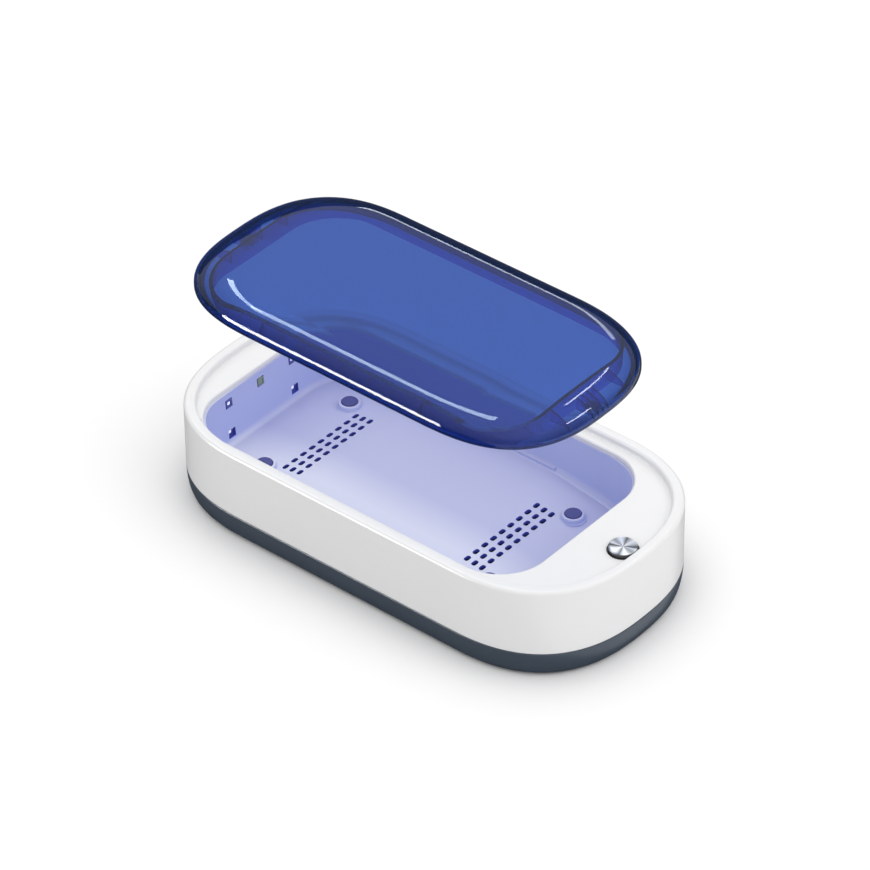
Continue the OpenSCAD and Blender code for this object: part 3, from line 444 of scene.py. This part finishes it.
def tinted_clear():
    """Clear cobalt plastic: light loses its red and green on the way through the wall."""
    mat = bpy.data.materials.new("cobalt_clear")
    mat.use_nodes = True
    nt = mat.node_tree
    shader = nt.nodes["Principled BSDF"]
    socket(shader, Base_Color=(0.15, 0.35, 1.0, 1), Roughness=0.0, IOR=1.4, Transmission_Weight=0.96)
    inside = nt.nodes.new("ShaderNodeVolumeAbsorption")
    socket(inside, Color=(0.0, 0.23, 0.50, 1), Density=700.0)
    nt.links.new(inside.outputs[0], nt.nodes["Material Output"].inputs["Volume"])
    return mat


def glow():
    """The lit face of a lamp."""
    mat = bpy.data.materials.new("lamp_glow")
    mat.use_nodes = True
    shader = mat.node_tree.nodes["Principled BSDF"]
    socket(shader, Base_Color=(0.7, 0.7, 0.95, 1), Emission_Color=(0.62, 0.62, 1, 1), Emission_Strength=0.8,
           Roughness=0.3)
    return mat


tray_painted_shade_mat, cap_metal_painted_reflection, lid_mat, glow_mat = lavender_with_painted_shade(), spun_metal_painted_reflection(), tinted_clear(), glow()


# ---- Base shell ---------------------------------------------------------------------------------
angles = even_angles(body_oval(0), RING)
_cuts = {}


def box_ring(outline, inset, z):
    """A ring at an inset from one of the box's outlines. Each inset is cut once."""
    key = (outline, round(inset, 4))
    if key not in _cuts:
        _cuts[key] = cut(outline(inset), angles)
    return level(_cuts[key], z)


def tuck(u):
    """How far the base draws in, at a share of its height."""
    return BASE_TUCK * (1 - math.sqrt(max(0.0, 1 - (1 - u) ** 2)))


def base_shell():
    height = SEAM_Z - BASE_Z
    outside = [(tuck(u), BASE_Z + height * u) for u in (np.linspace(0, 1, 25) ** 1.8)]
    top = [(0.0, SEAM_Z - 0.4), (0.06, SEAM_Z - 0.2), (0.2, SEAM_Z - 0.06), (0.4, SEAM_Z)]
    outside = [p for p in outside if p[1] < SEAM_Z - 0.45] + top
    inside = [(WALL_T, SEAM_Z), (WALL_T, SEAM_Z - 2)]
    inside += [(WALL_T + tuck(u), FLOOR_TOP + (height - FLOOR_T) * u) for u in (0.5, 0.25, 0.1, 0.03, 0.0)]
    rings = [box_ring(body_oval, *p) for p in outside + inside]
    under = [level(cut(body_oval(BASE_TUCK), angles) * s, BASE_Z) for s in (0.3, 0.8, 0.985)]
    over = [level(cut(body_oval(WALL_T + BASE_TUCK), angles) * s, FLOOR_TOP) for s in (0.985, 0.8, 0.3)]
    shell = loft("base_tub", under + rings + over, caps=True)
    cutters = [rod("bore", p, CASE_HEAD_R, BASE_Z - 1, BASE_Z + HEAD_DEPTH) for p in CASE_BOSSES]
    cutters += [rod("recess", p, FOOT_R + FOOT_GAP, BASE_Z - 1, FOOT_PROUD + FOOT_RECESS) for p in FEET]
    half = SOCKET_W / 2 + SOCKET_GAP
    port = cuboid("port", (SOCKET_X - half, HALF_WID - 5, MAIN_TOP - SOCKET_GAP),
                  (SOCKET_X + half, HALF_WID + 1, MAIN_TOP + SOCKET_H + SOCKET_GAP), 1.6, 5)
    carve(shell, cutters + [port])
    tubes = []
    for p in CASE_BOSSES:
        tubes.append(tube("boss", p, CASE_HEAD_R, CASE_HEAD_R + HEAD_WALL, FLOOR_TOP - 0.3, BASE_Z + 6.6, 48))
        tubes.append(tube("boss", p, CASE_CLEAR_R, CASE_BOSS_R, BASE_Z + HEAD_DEPTH, SEAM_Z, 48))
    for p in MAIN_POSTS:
        tubes.append(tube("post", p, PILOT_R, MAIN_POST_R, FLOOR_TOP - 0.2, FLOOR_TOP + MAIN_POST_H))
    piece = joined("base_body", [shell] + tubes)
    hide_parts("base_shell")
    return dress(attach(piece, "housing"), slate)


# ---- Upper housing ------------------------------------------------------------------------------
def upper_housing():
    wall = [(0.45, SEAM_Z + 0.05), (0.2, SEAM_Z + 0.12), (0.05, SEAM_Z + 0.3), (0.0, SEAM_Z + 0.55),
            (0.0, SEAM_Z + 1.2), (0.0, RIM_Z - RIM_ROUND - 0.6)]
    wall += [(x, RIM_Z - RIM_ROUND + h) for x, h in arc(RIM_ROUND, RIM_ROUND, 12)]
    wall += [(RIM_ROUND + 0.15, RIM_Z), (RIM_W - RIM_INNER - 0.15, RIM_Z)]
    wall += [(RIM_W - x, RIM_Z - RIM_INNER + h) for x, h in arc(RIM_INNER, RIM_INNER, 9)[::-1]]
    wall += [(RIM_W + x, LEDGE_Z + LEDGE_FILLET - h) for x, h in arc(LEDGE_FILLET, LEDGE_FILLET, 7)]
    wall += [(RIM_W + LEDGE_FILLET + 0.15, LEDGE_Z)]
    lip = [(-LIP_ROUND - 0.15, LEDGE_Z)]
    lip += [(-x, LEDGE_Z - LIP_ROUND + h) for x, h in arc(LIP_ROUND, LIP_ROUND, 9)[::-1]]
    lip += [(0.0, LEDGE_Z - LIP_ROUND - 0.3), (0.0, UNDER_LEDGE_Z)]
    inside = [(WALL_T, UNDER_LEDGE_Z), (WALL_T, SEAM_Z + 0.05)]
    rings = [box_ring(outline, *row) for outline, rows in (
        (body_oval, wall), (chamber_outline, lip), (body_oval, inside)) for row in rows]
    shell = loft("housing_shell", rings)
    carve(shell, [rod("hole", (BUTTON_X, 0), BEZEL_R + 0.1, UNDER_LEDGE_Z - 1, LEDGE_Z + 1, 96)])
    high = UNDER_LEDGE_Z + 0.3
    tubes = [tube("boss", p, CASE_PILOT_R, CASE_BOSS_R, SEAM_Z, high, 48) for p in CASE_BOSSES]
    board_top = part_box("button_board")[1].z / MM
    tubes += [tube("post", p, PILOT_R, POST_R, board_top, high) for p in BUTTON_POSTS]
    piece = joined("housing_body", [shell] + tubes)
    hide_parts("upper_housing")
    return dress(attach(piece, "housing"), white)


# ---- Chamber tray -------------------------------------------------------------------------------
def wall_in(depth):
    """How far the wall lies inside the opening, at a depth below the ledge."""
    return TRAY_INSET + (depth - LEDGE_T) * DRAFT


RAMP_RUN = CHAMBER_LEN / 2 - wall_in(CHAMBER_DEPTH) - PLATEAU_LEN / 2


def floor_z(d):
    """The floor's height at a distance along the box from the chamber's middle."""
    return PLATEAU_Z - np.maximum(0, np.abs(d) - PLATEAU_LEN / 2) * (PLATEAU_Z - RAMP_END_Z) / RAMP_RUN


def tray_rings():
    """Rings in the tray's own plan, from the middle of its floor up its wall and back down outside."""
    around = even_angles(chamber_outline(0, 0), RING)
    out, far_in = -2.0, 8.0
    outer, inner = (cut(chamber_outline(inset, 0), around) for inset in (out, far_in))

    def wall(inset):
        share = (np.asarray(inset, float).reshape(-1, 1) - out) / (far_in - out)
        return outer * (1 - share) + inner * share

    foot = wall(wall_in(CHAMBER_DEPTH))
    floor = floor_z(foot[:, 0])
    depth = LEDGE_Z - floor
    fillet = 2.4
    rings = []
    edge = wall(wall_in(depth) + fillet)
    for s in (0.25, 0.5, 0.75, 0.9, 0.985):
        rings.append(np.column_stack([edge * s, floor_z(edge[:, 0] * s)]))
    for k in range(9):
        a = k / 8 * np.pi / 2
        z = floor + fillet * (1 - math.cos(a))
        plan = wall(wall_in(LEDGE_Z - z) + fillet * (1 - math.sin(a)))
        rings.append(np.column_stack([plan, z]))
    for share in (0.08, 0.5, 0.9, 1.0):
        z = (floor + fillet) * (1 - share) + UNDER_LEDGE_Z * share
        rings.append(np.column_stack([wall(wall_in(LEDGE_Z - z)), z]))
    reach = TRAY_T - wall_in(LEDGE_T)
    half_len, half_wid = CHAMBER_LEN / 2 + reach + 2, CHAMBER_WID / 2 + reach + 3
    flange = cut(round_rect(half_len, half_wid, CHAMBER_CORNER + 2), around)
    rings.append(level(flange, UNDER_LEDGE_Z))
    rings.append(level(flange, UNDER_LEDGE_Z - TRAY_T))
    for share in (0.0, 1.0):
        z = (UNDER_LEDGE_Z - TRAY_T) * (1 - share) + (floor - TRAY_T) * share
        rings.append(np.column_stack([wall(wall_in(LEDGE_Z - z) - TRAY_T), z]))
    under = wall(wall_in(depth))
    for s in (0.98, 0.75, 0.5, 0.25):
        rings.append(np.column_stack([under * s, floor_z(under[:, 0] * s) - TRAY_T]))
    return rings


def crease_floor(obj):
    """Adds the two edges where the ramps leave the plateau, and sets the floor exactly on them."""
    bm = bmesh.new()
    bm.from_mesh(obj.data)
    for side in (-1, 1):
        bmesh.ops.bisect_plane(bm, geom=bm.verts[:] + bm.edges[:] + bm.faces[:],
                               plane_co=(side * PLATEAU_LEN / 2 * MM, 0, 0), plane_no=(1, 0, 0))
    border, near = 6.5, 0.5
    for v in bm.verts:
        x, y, z = v.co / MM
        if abs(x) >= CHAMBER_LEN / 2 - border or abs(y) >= CHAMBER_WID / 2 - border:
            continue
        for target in (floor_z(x), floor_z(x) - TRAY_T):
            if abs(z - target) < near:
                v.co.z = target * MM
    bm.to_mesh(obj.data)
    bm.free()


def slot_cutter(x, y):
    straight, r = (SLOT_LEN - SLOT_WID) / 2, SLOT_WID / 2
    ring = np.array([(x + r * math.cos(a), y + side * straight + r * math.sin(a))
                     for side, turn in ((1, 0), (-1, np.pi)) for a in np.linspace(turn, turn + np.pi, 9)])
    return loft("slot", [level(ring, RAMP_END_Z - 4), level(ring, PLATEAU_Z + 2)], caps=True)


def windows(side):
    """Where the windows of one end wall lie, as (y, z). The sensor's is in the left wall."""
    return LAMP_SPOTS + [SENSOR_SPOT] if side < 0 else LAMP_SPOTS


def in_window(x, y, z):
    half = WINDOW_W / 2 + 0.02
    return any(abs(y - at[0]) < half and abs(z - at[1]) < half for at in windows(x))


def paint_shade_in_openings(obj):
    """Gives the sides of the slots and windows the tray's second material, a dark navy that is painted shade
    in these recesses.
    """
    near = PLATEAU_LEN / 2 + SLOT_GAP - SLOT_WID
    far = near + (SLOT_COLS - 1) * SLOT_PITCH_X + 2 * SLOT_WID
    half, end_wall = SLOT_ROWS * SLOT_PITCH_Y / 2, CHAMBER_LEN / 2 - 6
    for face in obj.data.polygons:
        x, y, z = face.center / MM
        in_slot = abs(face.normal.z) < 0.4 and near < abs(x) < far and abs(y) < half
        if in_slot or abs(x) > end_wall and abs(face.normal.x) < 0.3 and in_window(x, y, z):
            face.material_index = 1


def tray_cutters():
    cutters = []
    for side in (-1, 1):
        for c in range(SLOT_COLS):
            for r in range(SLOT_ROWS):
                cutters.append(slot_cutter(side * (PLATEAU_LEN / 2 + SLOT_GAP + c * SLOT_PITCH_X),
                                           (r - (SLOT_ROWS - 1) / 2) * SLOT_PITCH_Y))
    half = WINDOW_W / 2
    for side in (-1, 1):
        x = side * (CHAMBER_LEN / 2 + 4)
        for y, z in windows(side):
            cutters.append(cuboid("window", (x - 10, y - half, z - half), (x + 10, y + half, z + half)))
    return cutters + [rod("seat", p, PAD_R + 0.1, PLATEAU_Z - 1, PLATEAU_Z + 3) for p in PADS]


def tray_additions():
    """Seats for the pads, posts for the coil's carrier and the steps beside the plateau."""
    low, top = float(floor_z(PAD_LEN / 2)), PLATEAU_Z - 0.4
    seat = [(0.1, top - 0.4), (0.1, top - 0.1), (0.2, top), (0.7, top), (1.0, top - 0.1), (1.25, top - 0.35),
            (1.35, top - 0.7), (1.4, low + 0.7), (1.55, low + 0.25), (1.9, low + 0.02), (1.9, low - 0.9),
            (0.1, low - 0.9)]
    added = []
    for p in PADS:
        added.append(turned("pad_boss", [(PAD_R + x, z) for x, z in seat], p, 64, crease=50))
        added.append(rod("pad_floor", p, PAD_R + 0.4, low - 1.0, PLATEAU_Z - 1.02))
    sheet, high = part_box("ferrite_sheet")[0].z / MM, PLATEAU_Z - TRAY_T + 0.3
    added += [tube("carrier_post", p, PILOT_R, POST_R, sheet, high) for p in CARRIER_POSTS]
    half, wall = PLATEAU_LEN / 2, CHAMBER_WID / 2 - wall_in(PLATEAU_DEPTH)
    for s in (-1, 1):
        y = sorted((s * (wall - 1.5), s * (wall + 0.5)))
        added.append(cuboid("lip_step", (-half, y[0], PLATEAU_Z - 0.5), (half, y[1], PLATEAU_Z + 1.7), 0.3))
    return added


def chamber_tray():
    shell = loft("tray_shell", tray_rings(), caps=True)
    crease_floor(shell)
    shell.data.shade_smooth()
    carve(shell, tray_cutters())
    # Paints shade on the sides of the slots and windows.
    paint_shade_in_openings(shell)
    piece = joined("tray_body", [shell] + tray_additions())
    piece.data.transform(Matrix.Translation((SHIFT * MM, 0, 0)))
    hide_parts("chamber_tray")
    piece.data.materials.append(tray_painted_shade_mat)
    # The second material is painted shade for the sides of the slots and windows.
    piece.data.materials.append(opening_painted_shade)
    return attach(piece, "housing")


# ---- Lid ----------------------------------------------------------------------------------------
CEILING_DROP = 0.6
CEILING_FOOT = LID_EDGE_H - CEILING_DROP
CEILING_RISE = LID_DOME_H - LID_T + CEILING_DROP
LID_CEILING = [(x, CEILING_FOOT + h) for x, h in arc(1.0, CEILING_RISE, 28)]


def draw_in(share, start=0.0):
    """How far a ring of the dome lies inside the lid's edge, at its ends and at its sides."""
    return start + share * (LID_SLOPE_W - start), start + share * (LID_DOME_W - start)


def lid_rings():
    """From the middle of the lid's top over its dome, under its edge and back along its hollow and skirt."""
    around = even_angles(lid_oval(0, 0), RING)

    def dome_plan(share, start=0.0):
        return cut(lid_oval(*draw_in(share, start)), around)

    def lid_ring(inset, z):
        return level(cut(lid_oval(inset, inset), around), z)

    def skirt_plan(inset):
        return cut(round_rect(SKIRT_HALF_LEN - inset, SKIRT_HALF_WID - inset, SKIRT_CORNER - inset), around)

    top = LID_EDGE_H + LID_DOME_H
    edge = dome_plan(1.0)
    rings = [level(edge * s, top + LID_CROWN * (1 - s * s)) for s in (0.15, 0.35, 0.55, 0.75, 0.9, 0.97)]
    rings += [level(dome_plan(x), LID_EDGE_H + h) for x, h in arc(1.0, LID_DOME_H, 32)[::-1]]
    rings += [lid_ring(x, z) for x, z in ((0.0, 1.2), (0.0, 0.7), (0.08, 0.4), (0.3, 0.12), (0.7, 0.0))]
    rings += [lid_ring(LID_EDGE_T - x, z) for x, z in ((0.6, 0.0), (0.2, 0.1), (0.0, 0.4))]

    shares = [x for x, _ in LID_CEILING][::-1]
    reach = np.array([np.linalg.norm(dome_plan(x, LID_EDGE_T), axis=1) for x in shares])

    def hollow(plan):
        """Plan points, set on the underside of the dome."""
        r = np.linalg.norm(plan, axis=1)
        share = np.array([np.interp(r[i], reach[:, i], shares) for i in range(len(r))])
        z = CEILING_FOOT + CEILING_RISE * np.sqrt(1 - (1 - share) ** 2)
        return np.column_stack([plan, z + LID_CROWN * np.maximum(0, 1 - (r / reach[0]) ** 2)])

    wall, outside = cut(lid_oval(LID_EDGE_T, LID_EDGE_T), around), skirt_plan(0.0)
    rings += [hollow(wall + (outside - wall) * s) for s in np.linspace(0, 1, 12)]
    foot = [(0.0, 0.3), (0.06, 0.1), (0.15, 0.0), (0.3, 0.0), (0.4, 0.1), (0.45, 0.3)]
    rings += [level(skirt_plan(x), h - SKIRT_DROP) for x, h in foot]
    inside = skirt_plan(SKIRT_T + 0.3)
    shrink = list(np.linspace(1.0, 0.94, 5)) + list(np.linspace(0.92, 0.6, 13)) + [0.45, 0.3, 0.15]
    rings += [hollow(inside * s) for s in shrink]
    return rings


def fin(across, turn, low, root):
    """A rib from root out to the lid's wall, with its upper edge buried in the dome."""
    buried = 0.5
    side = abs(math.sin(turn)) > 0.5
    edge = LID_HALF_WID if side else LID_HALF_LEN
    over = [(edge - draw_in(x, LID_EDGE_T)[1 if side else 0] + buried, z + buried) for x, z in LID_CEILING]
    over = [p for p in over if p[0] > root]
    ring = [(root, low), (over[0][0], low)] + over + [(root, over[-1][1])]
    rib = loft("rib", [np.array([(r, s * GUSSET_T / 2, z) for r, z in ring]) for s in (-1, 1)], caps=True)
    rib.data.transform(Matrix.Rotation(turn, 4, "Z"))
    rib.data.transform(Matrix.Translation((across * MM, 0, 0) if side else (0, across * MM, 0)))
    return rib


def lid():
    shell = loft("lid_dome", lid_rings(), caps=True)
    ribs = []
    side_root, end_root = SKIRT_HALF_WID - SKIRT_T / 2, SKIRT_HALF_LEN - SKIRT_T / 2
    catch_root = (SKIRT_HALF_LEN + LID_HALF_LEN - CATCH_LEN) / 2
    for side, end in ((-math.pi / 2, math.pi), (math.pi / 2, 0)):
        ribs += [fin(x, side, GUSSET_LOW, side_root) for x in (-GUSSET_X, GUSSET_X)]
        ribs += [fin(y, end, GUSSET_LOW, end_root) for y in (-GUSSET_Y, GUSSET_Y)]
        ribs += [fin(k * CATCH_W / 3, end, CATCH_LOW, catch_root) for k in (-1.5, -0.5, 0.5, 1.5)]
    carve(shell, ribs, union=True)
    shell.data.transform(Matrix.Translation((SHIFT * MM, 0, LID_Z * MM)))
    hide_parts("lid_shell")
    shell.visible_shadow = shell.visible_diffuse = False
    return dress(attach(shell, "lid"), lid_mat)


# ---- Lamps --------------------------------------------------------------------------------------
def square(name, ends, at, half, bevel=0.0):
    """A square block between two distances along the box."""
    (y, z), (x0, x1) = at, sorted(ends)
    return cuboid(name, (x0, y - half, z - half), (x1, y + half, z + half), bevel, 2)


def lamps(name, side):
    low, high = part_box(name + "_uv_lamps")
    face, back = (high.x / MM, low.x / MM) if side < 0 else (low.x / MM, high.x / MM)
    frames, faces = [], []
    for at in LAMP_SPOTS:
        holder = square("lamp_frame", (face, back), at, LAMP_HALF, LAMP_BEVEL)
        pocket = (face - side * POCKET_DEPTH, face + side * POCKET_DEPTH)
        carve(holder, [square("pocket", pocket, at, POCKET_HALF)])
        frames.append(holder)
        chip = (face + side * CHIP_FRONT, face + side * CHIP_BACK)
        faces.append(square("lamp_chip", chip, at, CHIP_HALF, CHIP_BEVEL))
    body = joined(name + "_lamp_frames", frames)
    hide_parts(name + "_uv_lamps")
    dress(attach(body, "housing"), ceramic)
    lit = joined(name + "_lamp_faces", faces)
    dress(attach(lit, "housing"), glow_mat)


# ---- Button -------------------------------------------------------------------------------------
def button():
    low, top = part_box("button_cap")[0].z / MM, LEDGE_Z + CAP_PROUD
    stem_r, dish_r, dish_rise, bottom = 2.4, CAP_R - 0.8, 0.31, top - 0.33
    stem = [(0, low), (stem_r, low), (stem_r, UNDER_LEDGE_Z)]
    rim = [(CAP_R, UNDER_LEDGE_Z), (CAP_R, top - 0.5), (CAP_R - 0.06, top - 0.3), (CAP_R - 0.2, top - 0.12),
           (CAP_R - 0.42, top - 0.02), (CAP_R - 0.6, top), (dish_r, top - 0.02)]
    dish = [(r, bottom + dish_rise * (r / dish_r) ** 2) for r in (4.6, 3.6, 2.6, 1.6, 0.8, 0.3)]
    profile = stem + rim + dish + [(0, bottom)]
    cap = turned("cap", profile, (0, 0), 128, crease=40)
    cap.location = (BUTTON_X * MM, 0, 0)
    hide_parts("button_cap")
    dress(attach(cap, "button"), cap_metal_painted_reflection)


base_shell()
upper_housing()
chamber_tray()
lid()
lamps("left", -1)
lamps("right", 1)
button()

FINISH = {
    "support_pads": navy, "left_lamp_board": pale_mask, "right_lamp_board": pale_mask, "phone_sensor": sensor,
    "coil_carrier": grey_mould, "ferrite_sheet": ferrite, "charging_coil": copper, "main_board": green,
    "control_chips": package, "power_inductor": ferrite, "board_sockets": ivory, "charging_socket": steel,
    "button_board": green, "tact_switch": package, "lid_sensor": package, "button_bezel": black,
    "rubber_feet": rubber, "case_magnets": nickel, "case_screws": zinc, "tray_screws": zinc,
    "main_board_screws": zinc, "carrier_screws": zinc, "lamp_board_screws": zinc, "button_board_screws": zinc,
    "left_lamp_cable": ribbon, "right_lamp_cable": ribbon, "lid_magnets": nickel, "switch_plunger": nylon,
    "base_shell": slate, "upper_housing": white, "chamber_tray": tray_painted_shade_mat, "lid_shell": lid_mat,
    "left_uv_lamps": ceramic, "right_uv_lamps": ceramic, "button_cap": cap_metal_painted_reflection,
}
for node, finish in FINISH.items():
    dress(nodes[node], finish)


# ---- Studio -------------------------------------------------------------------------------------
def plane(name, corners, colour):
    """A matt sheet of the studio, with its corners in metres."""
    mesh = bpy.data.meshes.new(name)
    mesh.from_pydata(corners, [], [(0, 1, 2, 3)])
    obj = bpy.data.objects.new(name, mesh)
    bpy.context.scene.collection.objects.link(obj)
    mat = bpy.data.materials.new(name)
    mat.use_nodes = True
    shader = mat.node_tree.nodes["Principled BSDF"]
    socket(shader, Base_Color=(*colour, 1), Roughness=0.9, Specular_IOR_Level=0.0)
    dress(obj, mat)
    return obj


def flag(name, corners):
    """A dark card that only reflections see, so that gloss keeps its dark edges in a pale studio."""
    card = plane(name, corners, (0.06, 0.065, 0.075))
    card.visible_camera = card.visible_diffuse = card.visible_transmission = False
    card.visible_shadow = card.visible_volume_scatter = False


FAR, FLAG_END, FLAG_Z = 6.0, 0.114, 0.0001
BOX_MIDDLE, LID_MIDDLE = Vector((0, 0, 0.05)), Vector((0, 0, 0.11))


def lying(x, height):
    """The corners of a level sheet that ends at x and otherwise reaches far out."""
    return [(-FAR, -FAR, height), (x, -FAR, height), (x, FAR, height), (-FAR, FAR, height)]


plane("floor", lying(FAR, 0), (0.93, 0.93, 0.93))
flag("floor_flag", lying(FLAG_END, FLAG_Z))
flag("back_flag", [(-4.6, 1.2, 0), (1.4, 3.6, 0), (1.4, 3.6, 1.1), (-4.6, 1.2, 1.1)])


def studio_world():
    """A pale studio, brighter towards its ceiling."""
    world = bpy.data.worlds.new("studio")
    bpy.context.scene.world = world
    world.use_nodes = True
    nt = world.node_tree
    sky = nt.nodes["Background"]
    socket(sky, Color=(1, 1, 1, 1))
    way = nt.nodes.new("ShaderNodeTexCoord")
    split = nt.nodes.new("ShaderNodeSeparateXYZ")
    height = nt.nodes.new("ShaderNodeMath")
    height.operation, height.inputs[1].default_value = "POWER", 2.0
    height.use_clamp = True
    span = nt.nodes.new("ShaderNodeMapRange")
    socket(span, To_Min=0.55, To_Max=1.50)
    nt.links.new(way.outputs["Generated"], split.inputs[0])
    nt.links.new(split.outputs["Z"], height.inputs[0])
    nt.links.new(height.outputs[0], span.inputs["Value"])
    nt.links.new(span.outputs[0], sky.inputs["Strength"])


def area_lamp(name, size, power, colour):
    data = bpy.data.lights.new(name, "AREA")
    data.shape, data.size, data.size_y = "RECTANGLE", *size
    data.energy, data.color = power, colour
    lamp = bpy.data.objects.new(name, data)
    bpy.context.scene.collection.objects.link(lamp)
    lamp.visible_camera = False
    return lamp


def softbox(name, direction, distance, side, power):
    """A square lamp aimed at the middle of the box, there for its light and not for reflections."""
    lamp = area_lamp(name, (side, side), power, (1, 1, 1))
    ray = Vector(direction).normalized()
    lamp.location = BOX_MIDDLE + ray * distance
    lamp.rotation_mode = "QUATERNION"
    lamp.rotation_quaternion = (-ray).to_track_quat("-Z", "Y")
    lamp.visible_glossy = False


def strip(name, start, end, width, radiance, colour=(0.8, 0.88, 1.0), distance=2.0):
    """A long narrow lamp between two directions seen from the lifted lid, there for its reflection alone."""
    start, end = Vector(start).normalized() * distance, Vector(end).normalized() * distance
    middle, along = (start + end) / 2, end - start
    length = along.length
    ray, along = middle.normalized(), along.normalized()
    lamp = area_lamp(name, (length, width), radiance * math.pi * length * width, colour)
    turn = Matrix([along, ray.cross(along), ray]).transposed()
    lamp.matrix_world = Matrix.Translation(middle + LID_MIDDLE) @ turn.to_4x4()
    lamp.visible_diffuse = lamp.visible_transmission = False


studio_world()
softbox("key", (0.72, 0.15, 0.68), 2.6, 1.8, 10)
SKY_BLUE = (0.72, 0.89, 1.0)
strip("front_corner", (-0.72, 0.43, 0.54), (-0.58, 0.06, 0.81), 0.1, 13, SKY_BLUE)
strip("front_side", (-0.60, 0.05, 0.80), (-0.17, 0.23, 0.96), 0.26, 13, SKY_BLUE)
strip("back_side", (-0.62, 0.73, 0.28), (-0.24, 0.81, 0.53), 0.12, 6)
strip("end_high", (-0.13, 0.70, 0.70), (-0.07, 0.58, 0.81), 0.035, 17)
strip("end_low", (0.43, 0.41, 0.81), (0.32, 0.60, 0.74), 0.12, 20)
strip("edge", (-0.75, -0.65, -0.08), (-0.294, -0.947, -0.09), 0.13, 28, (1, 1, 1), 0.5)

# The camera: its focal length in pixels of a square frame, its axes and its place
FRAME_PX, FOCAL_PX, FILM = 870, 5134, 36.0
camera = bpy.data.cameras.new("camera")
camera.sensor_fit, camera.sensor_width, camera.sensor_height = "HORIZONTAL", FILM, FILM
camera.lens = FOCAL_PX * FILM / FRAME_PX
eye = bpy.data.objects.new("camera", camera)
bpy.context.scene.collection.objects.link(eye)
RIGHT, UP, BACK = (0.76764, 0.64080, -0.01013), (-0.38384, 0.47237, 0.79343), (0.51321, -0.60519, 0.60857)
PLACE = (1.08528, -1.27714, 1.33571)
eye.matrix_world = Matrix([[RIGHT[i], UP[i], BACK[i], PLACE[i]] for i in range(3)] + [[0, 0, 0, 1]])
camera.clip_start, camera.clip_end = 0.05, 50.0
bpy.context.scene.camera = eye

bpy.context.scene.view_settings.view_transform = "Standard"
